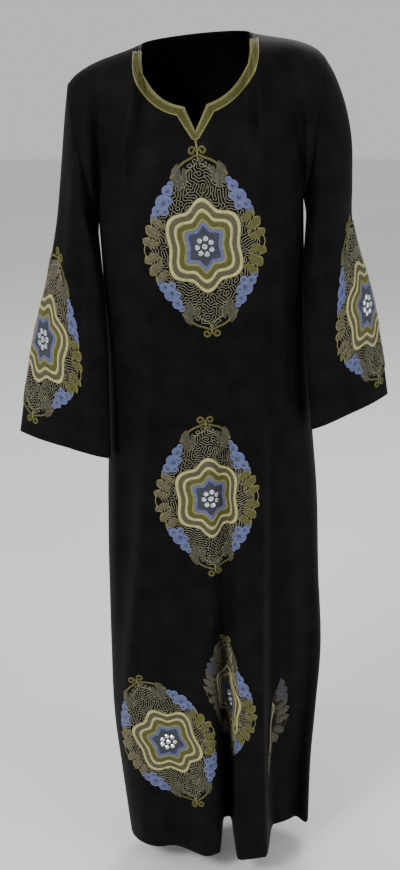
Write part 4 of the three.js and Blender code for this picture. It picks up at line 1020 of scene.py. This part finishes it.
def leaf(design, root, way, length, width, thread, vein, curl):
    """A notched leaf with a raised rim, a middle vein and side veins."""
    t = np.linspace(0, 1, 14)
    side = np.array([-way[1], way[0]])

    def along(u):
        return root + way * (u * length)[:, None] + side * (curl * length * u * u)[:, None]

    form = np.sin(np.pi * np.clip(0.10 + 0.90 * t, 0, 1)) ** 0.7
    wide = width * form * (1 + 0.10 * np.cos(5.5 * np.pi * t)) + 0.3
    design.strip(along(t), wide + 1.6, 0.45, 0.55, TAUPE if thread == FEATHER else SAGE, 4)
    design.strip(along(t), wide - 0.4, 0.75, 0.62, thread)
    design.strip(along(t)[1:-2], 0.9, 0.3, 1.30, vein, 3)
    for u in (0.22, 0.42, 0.62):
        start = along(np.array([u]))[0]
        for flank in (-1, 1):
            end = start + (side * flank * 0.36 * width * (1 - 0.3 * u) + way * 0.16 * length)
            design.strip(np.linspace(start, end, 4), 0.7, 0.25, 1.12, vein, 3)


def spot(degrees, share):
    return outline_line(np.radians(degrees), share, 0.0)


def outward(degrees, turn):
    """The way out of the outline, turned by an angle."""
    a, b = spot(degrees - 1.5, 1.0), spot(degrees + 1.5, 1.0)
    normal = unit(np.array([b[1] - a[1], a[0] - b[0]]))
    c, s = math.cos(math.radians(turn)), math.sin(math.radians(turn))
    return np.array([normal[0] * c - normal[1] * s, normal[0] * s + normal[1] * c])


def stitch_quarter(design, across, up):
    """Border ornaments of one quarter; across and up are 1 or -1."""
    flip = np.array([across, up])
    # Painted sheen: the side leaves on the left get lighter threads than those on the right, as if
    # they caught the light.
    painted_sheen_threads = (OLIVE, SAGE) if across > 0 else (TAUPE, CREAM)
    for rows, leaf_threads, curl in ((FEATHERS, (FEATHER, TAUPE), -0.12),
                                     (SIDE_LEAVES, painted_sheen_threads, 0.16)):
        for degrees, share, length, width, turn in rows:
            leaf(design, spot(degrees, share) * flip, outward(degrees, turn) * flip, length, width,
                 *leaf_threads, curl * across * up)
    for degrees, share, radius in BLUE_SCALLOPS[::-1]:
        centre = spot(degrees, share) * flip
        inward = -unit(centre) * radius
        design.disc(centre, radius, 0.9, 0.5, PALE_BLUE, 22, 4)
        design.disc(centre + inward * 0.12, radius * 0.60, 0.25, 1.16, DEEP_BLUE, 16, 3)
        rim = spiral(centre, radius * 0.93, radius * 0.93, 0, 344, 24)
        design.strip(rim, 1.3, 0.45, 1.0, LIGHT_BLUE, 4, True)
    for line, *how in TIP_STRIPS:
        design.strip(line * flip, *how)
    for degrees, size, start in SMALL_SCROLLS:
        line = spiral(spot(degrees, 0.77), size, 1.4, start, 330, 22)
        design.strip(line * flip, 1.8, 0.7, 0.55, SAGE, 4)


def stitch_rims(design):
    for start, end in RIMS:
        angle = np.radians(np.linspace(start, end, int((end - start) * 1.2)))
        design.strip(outline_line(angle, 0.965), 1.9, 0.6, 0.5, SAGE, 4)
    tip = np.stack([np.zeros(8), np.linspace(124, 139, 8)], 1)
    for up in (1, -1):
        design.strip(tip * up, 2.6, 0.8, 0.6, SAGE, 4)


print("ornaments in a quarter:", len(BLUE_SCALLOPS) + len(SIDE_LEAVES) + len(FEATHERS) + 3)

# %% [markdown]
# ## Fine meander lines
# Between rosette and border one thin cord wanders in tight loops that never cross. Such a
# maze grows by itself from a simple rule: start with seeded noise on a grid, and again and
# again strengthen ripples of one wavelength while holding back large values. The cord then
# follows the places where the ripples pass zero.

# %% Meander
MAZE_WAVE, MAZE_ROUNDS, MAZE_SEED = 7.8, 13, 41
MAZE_NOISE, MAZE_GAIN, MAZE_DAMPING = 0.3, 1.5, 0.9
MAZE_P, MAZE_Q = np.arange(-96, 97), np.arange(-148, 149)
CORD_WIDTH, CORD_STEP, SHORTEST_LOOP, BORDER_FROM = 1.3, 1.3, 9, 0.88


def grow_maze(columns, rows):
    field = np.random.default_rng(MAZE_SEED).normal(0, MAZE_NOISE, (rows, columns))
    kq, kp = np.meshgrid(np.fft.fftfreq(rows), np.fft.fftfreq(columns), indexing="ij")
    damping = MAZE_DAMPING * (1 - (kp ** 2 + kq ** 2) * MAZE_WAVE ** 2) ** 2
    for _ in range(MAZE_ROUNDS):
        grown = MAZE_GAIN * field - field ** 3
        field = np.real(np.fft.ifft2(np.fft.fft2(grown) / (1 + damping)))
    return field


def zero_lines(field):
    """Closed lines along which a grid's value passes zero."""
    inside = field > 0
    count = inside[:-1, :-1].astype(int) + inside[:-1, 1:] + inside[1:, 1:] + inside[1:, :-1]
    joined = {}
    for j, i in np.argwhere((count > 0) & (count < 4)).tolist():
        ring = [(j, i), (j, i + 1), (j + 1, i + 1), (j + 1, i), (j, i)]
        cuts = [tuple(sorted((a, b))) for a, b in zip(ring, ring[1:]) if inside[a] != inside[b]]
        if len(cuts) == 4 and inside[j, i] != (field[j:j + 2, i:i + 2].mean() > 0):
            cuts = cuts[1:] + cuts[:1]
        for a, b in zip(cuts[::2], cuts[1::2]):
            joined.setdefault(a, []).append(b)
            joined.setdefault(b, []).append(a)
    lines = []
    while joined:
        cut, line = next(iter(joined)), []
        while cut:
            (j0, i0), (j1, i1) = cut
            share = field[j0, i0] / (field[j0, i0] - field[j1, i1])
            line.append((MAZE_P[0] + mix(i0, i1, share), MAZE_Q[0] + mix(j0, j1, share)))
            cut = next((end for end in joined.pop(cut) if end in joined), None)
        lines.append(np.array(line))
    return lines


def stitch_meander(design):
    p, q = np.meshgrid(MAZE_P, MAZE_Q)
    angle, radius = np.arctan2(q, p), np.hypot(p, q)
    lobes = ring_line(np.linspace(-np.pi, np.pi, 721), *CLEAR_RING)
    lobe_angle = np.unwrap(np.arctan2(lobes[:, 1], lobes[:, 0]))
    clear_of_rosette = radius - np.interp(angle, lobe_angle, np.hypot(lobes[:, 0], lobes[:, 1]))
    clear_of_border = outline_radius(angle, 0.0) * BORDER_FROM - radius
    room = np.minimum(clear_of_rosette, clear_of_border)
    total = 0
    for line in zero_lines(np.minimum(grow_maze(p.shape[1], p.shape[0]), room / 3)):
        for _ in range(2):
            line = (np.roll(line, 1, 0) + 2 * line + np.roll(line, -1, 0)) / 4
        loop = np.concatenate([line, line[:1]])
        length = run_lengths(loop)[-1]
        if length >= SHORTEST_LOOP:
            loop = even_line(loop, lambda total: int(total / CORD_STEP) + 2)[:-1]
            design.strip(loop, CORD_WIDTH, 0.65, 0.55, SCROLL, 4, True)
            total += length
    return total

# %% [markdown]
# ## The whole design, flat
# Ground, rosette, border and meander are stitched into one list of threads, in that order.

# %% Draw the flat design
# share of the outline and height of each ring of the ground
GROUND_RINGS = [(1.0, -0.3), (0.985, 0.42), (0.93, 0.5), (0.84, 0.5), (0.74, 0.5), (0.64, 0.5),
                (0.54, 0.5), (0.44, 0.5)]


def stitch_ground(design):
    shares, heights = np.array(GROUND_RINGS).T
    places = outline_line(turns(150), 0.985)[:, None] * shares[:, None]
    design.add(places, heights, places[..., 0], places[..., 1], GROUND)


design = Stitching()
stitch_ground(design)
stitch_rosette(design)
for across, up in ((1, 1), (-1, 1), (1, -1), (-1, -1)):
    stitch_quarter(design, across, up)
stitch_rims(design)
print("meander line:", round(stitch_meander(design)), "mm")
print("one medallion:", design.count, "points,", 2 * sum(map(len, design.faces)), "triangles")

# %% [markdown]
# ## Threads
# Rayon embroidery thread is glossy along its length. The stitches lie across each strip, so a
# band pattern that counts along the strip draws them, and a noise bends it a little. Where
# stitches dip, the colour is darker, as the light is lost between them.

# %% Thread materials
# the wave texture's scale for one stitch in a millimetre, and how much the stitches darken
WAVE_PER_MM, STITCH_SHADE = 0.314, 0.55


def make_thread(name, light, dark, stitch):
    material, tree, shader = principled(
        name, light, 0.42, **{"Sheen Weight": 0.02, "Specular IOR Level": 0.18})
    uv_map = tree.nodes.new("ShaderNodeUVMap")
    uv_map.uv_map = "thread"
    place = uv_map.outputs["UV"]
    bands = texture(tree, "Wave", place, Scale=WAVE_PER_MM / stitch, Distortion=1.4, Detail=2.0)
    shade = texture(tree, "Noise", place, Scale=0.16, Detail=3.0)
    fibre = texture(tree, "Noise", place, Scale=2.2, Detail=2.0)
    both = tree.nodes.new("ShaderNodeMath")
    both.operation = "MULTIPLY_ADD"
    both.inputs[1].default_value = STITCH_SHADE
    tree.links.new(bands, both.inputs[0])
    tree.links.new(shade, both.inputs[2])
    colour_ramp(tree, both.outputs[0], shader, dark, light, 0.35, 0.95)
    bumps(tree, shader, (fibre, 0.3, 0.0002), (bands, 0.45, 0.0003))
    return material


# name, light colour, dark colour, stitch width
THREADS = [
    ("cream_cord", (0.44, 0.42, 0.190), (0.20, 0.185, 0.070), 0.9),
    ("taupe_fill", (0.098, 0.085, 0.050), (0.036, 0.031, 0.018), 1.1),
    ("olive_fill", (0.098, 0.093, 0.024), (0.036, 0.034, 0.008), 1.1),
    ("sage_cord", (0.215, 0.208, 0.080), (0.090, 0.086, 0.030), 0.9),
    ("pale_blue", (0.114, 0.132, 0.258), (0.040, 0.050, 0.125), 1.0),
    ("deep_blue", (0.052, 0.062, 0.135), (0.022, 0.026, 0.062), 1.0),
    ("slate_fill", (0.046, 0.050, 0.070), (0.014, 0.016, 0.025), 1.1),
    ("scroll_cord", (0.25, 0.235, 0.155), (0.11, 0.10, 0.065), 0.8),
    ("light_blue", (0.165, 0.20, 0.38), (0.08, 0.10, 0.215), 0.9),
    ("grey_feather", (0.064, 0.060, 0.044), (0.024, 0.022, 0.016), 1.1),
]
threads = [make_thread(*row) for row in THREADS]
print("thread materials:", [t.name for t in threads])

# %% [markdown]
# ## Rhinestones
# Flat-backed glass stones sit in the dark star. Each has a girdle, a ring of crown facets and a
# flat table. The foil behind real ones throws the light back, so they are made as bright
# mirrors with sharp, unsmoothed facets.

# %% Stones
def make_stone_glass():
    material, tree, shader = principled("rhinestone", (0.86, 0.88, 0.92), 0.07, **{
        "Metallic": 0.85, "Coat Weight": 1.0, "Coat Roughness": 0.03})
    # Painted glints: a fine noise makes some spots of the stones dark and others bright, standing
    # in for the facets' changing reflections.
    painted_glints = texture(tree, "Noise", object_place(tree), Scale=420.0, Detail=1.0)
    colour_ramp(tree, painted_glints, shader, (0.30, 0.32, 0.38), (0.94, 0.95, 0.97), 0.35, 0.62)
    return material


stone_glass = make_stone_glass()
STONES_ROUND, STONE_SIDES, STONE_SEAT = 7, 10, ROSETTE_BASE + 0.2
# p, q and radius of each stone
STONE_PLACES = [(0.0, 0.0, 4.7)] + [
    (11.2 * math.sin(a), 12.4 * math.cos(a), 4.4) for a in turns(STONES_ROUND) + 0.2]
# radius, height and turn of each ring of a stone of radius 1, from its foot to its table
STONE_RINGS = [(1.0, -0.2, 0), (1.0, 0.18, 0), (0.80, 0.42, 0), (0.52, 0.56, math.pi / STONE_SIDES)]


def stone_shape():
    """A stone of radius 1: its points as p, q and height, and its facets."""
    points = np.array([(radius * math.cos(a + turn), radius * math.sin(a + turn), height)
                       for radius, height, turn in STONE_RINGS for a in turns(STONE_SIDES)])
    quads = grid_faces(len(STONE_RINGS), STONE_SIDES, close_columns=True)
    facets = [list(quad[cut]) for quad in quads for cut in ([0, 1, 2], [0, 2, 3])]
    return points, facets + [list(range(len(points) - STONE_SIDES, len(points)))]


def lay_stones(name, chart):
    shape, facets = stone_shape()
    verts = [chart.lay(p + shape[:, 0] * radius, q + shape[:, 1] * radius,
                       STONE_SEAT + shape[:, 2] * radius) for p, q, radius in STONE_PLACES]
    faces = [[len(shape) * k + int(i) for i in f] for k in range(len(verts)) for f in facets]
    return new_object(name, np.concatenate(verts), faces, [stone_glass], smooth=False)


print("stones on a medallion:", len(STONE_PLACES))

# %% [markdown]
# ## Seven medallions
# The flat design is laid on every chart. The last one at the hem comes out of a pleat, so its
# stitches left of the pleat's edge are dropped. Soft studio light fills the pleats more than
# daylight does, so the pleats' shade is painted in: what lies in them gets darker threads.

# %% Lay the medallions
# flat place left of which a medallion's threads are swapped for darker ones: painted shade
PAINTED_SHADE_UP_TO = {"hem_middle": -8, "hem_right": FAR_RIGHT}

for name, chart in charts.items():
    painted_shade_up_to = PAINTED_SHADE_UP_TO.get(name, FAR_LEFT)
    medallion = design.lay("embroidery_" + name, chart.lay, chart.clip, painted_shade_up_to)
    ready(medallion, "embroidery", "medallion_" + name)
    if name != "hem_right":
        ready(lay_stones("stones_" + name, chart), "stones")

# %% [markdown]
# ## The corded neckline
# The band round the neckline is five cords side by side, light at both edges and olive
# between. It is cut straight just below the shoulder seams. Inside it run a thin cream piping
# and a narrow black facing, each one section carried along the neckline's edge. A short stem
# joins the notch to the chest medallion.

# %% Neck trim
TRIM_WIDTH, TRIM_ENDS_BELOW, LAST_NECK_ROW = 12, 9, 90
# share across the band from the neckline, width, height, thread
TRIM_CORDS = [(0.09, 2.3, 1.5, SAGE), (0.29, 2.7, 1.35, OLIVE), (0.50, 2.6, 1.2, OLIVE),
              (0.71, 2.7, 1.35, OLIVE), (0.91, 2.3, 1.5, SAGE)]
# Round the notch: how a cord's own distance moves its corner, its low end and its tip.
CORNER_OUT, LOW_OUT, LOW_DOWN, TIP_DOWN = 0.8, 0.468, 0.55, 0.9
EDGE_SHARE, BELOW_SHARE = 0.04, 0.30
STEM = [(0, -128), (0.8, -133), (1.9, -139), (2.8, -147)]


def neck_half(side, share):
    """The line that runs at a share of the band's width, from a seam to the notch."""
    off = share * TRIM_WIDTH
    wide, deep = NECK_HALF + off, SCOOP_DROP + off
    spots = [(side * wide, z)
             for z in np.linspace(NECK_HEIGHT - TRIM_ENDS_BELOW, SCOOP_CENTRE, 8)[:-1]]
    spots += [(side * wide * math.cos(a), SCOOP_CENTRE - deep * math.sin(a))
              for a in np.linspace(0, math.acos((NOTCH_HALF + CORNER_OUT * off) / wide), 26)]
    low = (side * LOW_OUT * off, NOTCH_BOTTOM - LOW_DOWN * off)
    return np.concatenate([spots, np.linspace(spots[-1], low, 12)[1:]])


def neck_line(share):
    left, right = neck_half(-1, share), neck_half(1, share)
    tip = [(0.0, NOTCH_BOTTOM - TIP_DOWN * share * TRIM_WIDTH)]
    line = np.concatenate([left, tip, right[::-1]])
    line[:, 1] += SHOULDER_SLOPE * line[:, 0]
    return line


def on_front(x, z, height=0.0):
    """Places of the front that show at x and z from the front, lifted by a height."""
    return front.at(*find_places(front, x, z, LAST_NECK_ROW), height)


trim = Stitching(sunk=0.6)
for share, width, height, thread in TRIM_CORDS:
    trim.strip(neck_line(share), width, height, 0.3, thread, 7)
    length = run_lengths(on_front(*neck_line(share).T))[-1]
    print("cord at", share, "is", round(length), "mm")
trim.strip(smooth_line(STEM), 3.0, 1.2, 0.3, SAGE, 7)
ready(trim.lay("neck_cords", on_front), "trim_cord", "neck_trim")

# The neckline's edge on the cloth, the way into the opening and the way out of the cloth.
edge, below = (on_front(*neck_line(share).T) for share in (EDGE_SHARE, BELOW_SHARE))
inward, outwards = unit(edge - below), unit(on_front(*neck_line(BELOW_SHARE).T, 1.0) - below)
print("piping is", round(run_lengths(edge)[-1]), "mm")
# sections of both bands: distances into the opening and out of the cloth
PIPING = [2.1, -0.9] + around(turns(8), 0.6)
FACING = [(-1.2, -1.25), (-1.2, -2.1), (2.2, -2.6), (4.6, -2.5), (4.9, -1.9), (4.2, -1.4),
          (1.8, -1.4)]

for name, profile, material, slot in (("neck_piping", PIPING, threads[0], "trim_cord"),
                                      ("neck_facing", FACING, crepe, "crepe")):
    points = [edge + inward * into + outwards * out for into, out in profile]
    count = len(profile)
    uv = [np.repeat(run_lengths(edge), count), np.tile(0.8 * np.arange(count), len(edge))]
    quads = grid_faces(len(edge), count, close_columns=True).tolist()
    ready(new_object(name, np.stack(points, 1).reshape(-1, 3), quads, [material],
                     uv=np.stack(uv, 1)), slot)

# %% [markdown]
# ## Stage, light and camera
# A pale floor and broad soft lights, as in a small studio. Black cloth only shows its folds
# where light grazes them, so the key light stands high on one side and the others are weak.

# %% Floor
FLOOR_HALF, FLOOR_LEVEL = 9000, -1.46


def make_floor():
    verts = [(x * FLOOR_HALF, y * FLOOR_HALF, 0) for x, y in ((-1, -1), (1, -1), (1, 1), (-1, 1))]
    material, tree, shader = principled("pale_floor", (0.80, 0.79, 0.77), 0.65)
    grain = tree.nodes.new("ShaderNodeTexNoise")
    grain.inputs["Scale"].default_value, grain.inputs["Detail"].default_value = 14.0, 4.0
    colour_ramp(tree, grain.outputs["Fac"], shader, (0.77, 0.76, 0.74), (0.82, 0.81, 0.79))
    floor = new_object("floor", verts, [[0, 1, 2, 3]], [material], smooth=False)
    floor.location.z = FLOOR_LEVEL


make_floor()

# %% [markdown]
# ## Three lights and the camera
# Each light is a round panel turned to a point of the garment. The camera looks slightly down.

# %% Lights and camera
def area_light(name, place, aim, size, watts, colour=(1, 1, 1)):
    data = bpy.data.lights.new(name, "AREA")
    data.shape, data.size, data.energy, data.color = "DISK", size, watts, colour
    light = bpy.data.objects.new(name, data)
    x, y, z = np.array(aim, float) - place
    light.location = place
    light.rotation_euler = (math.atan2(math.hypot(x, y), -z), 0, math.atan2(x, -y) + math.pi)
    bpy.context.scene.collection.objects.link(light)


area_light("key", (-1.9, -2.3, 1.5), (0, 0, -0.6), 1.1, 95, (1.0, 0.98, 0.95))
area_light("fill", (2.2, -1.9, 0.4), (0, 0, -0.7), 1.6, 32, (0.94, 0.97, 1.0))
area_light("back", (0.8, 2.4, 1.6), (0, 0, -0.5), 1.4, 60)
world = bpy.data.worlds.new("studio")
world.use_nodes = True
background = world.node_tree.nodes["Background"]
background.inputs["Color"].default_value = (0.86, 0.87, 0.88, 1)
background.inputs["Strength"].default_value = 0.75
bpy.context.scene.world = world

CAMERA_DOWN = 20.6
camera_data = bpy.data.cameras.new("camera")
camera_data.sensor_width, camera_data.lens = 36, 51.72
camera = bpy.data.objects.new("camera", camera_data)
camera.location = (0.0066, -1.94, 0.11)
camera.rotation_euler = (math.radians(90 - CAMERA_DOWN), 0, 0)
bpy.context.scene.collection.objects.link(camera)
bpy.context.scene.camera = camera
print("camera at", tuple(camera.location))
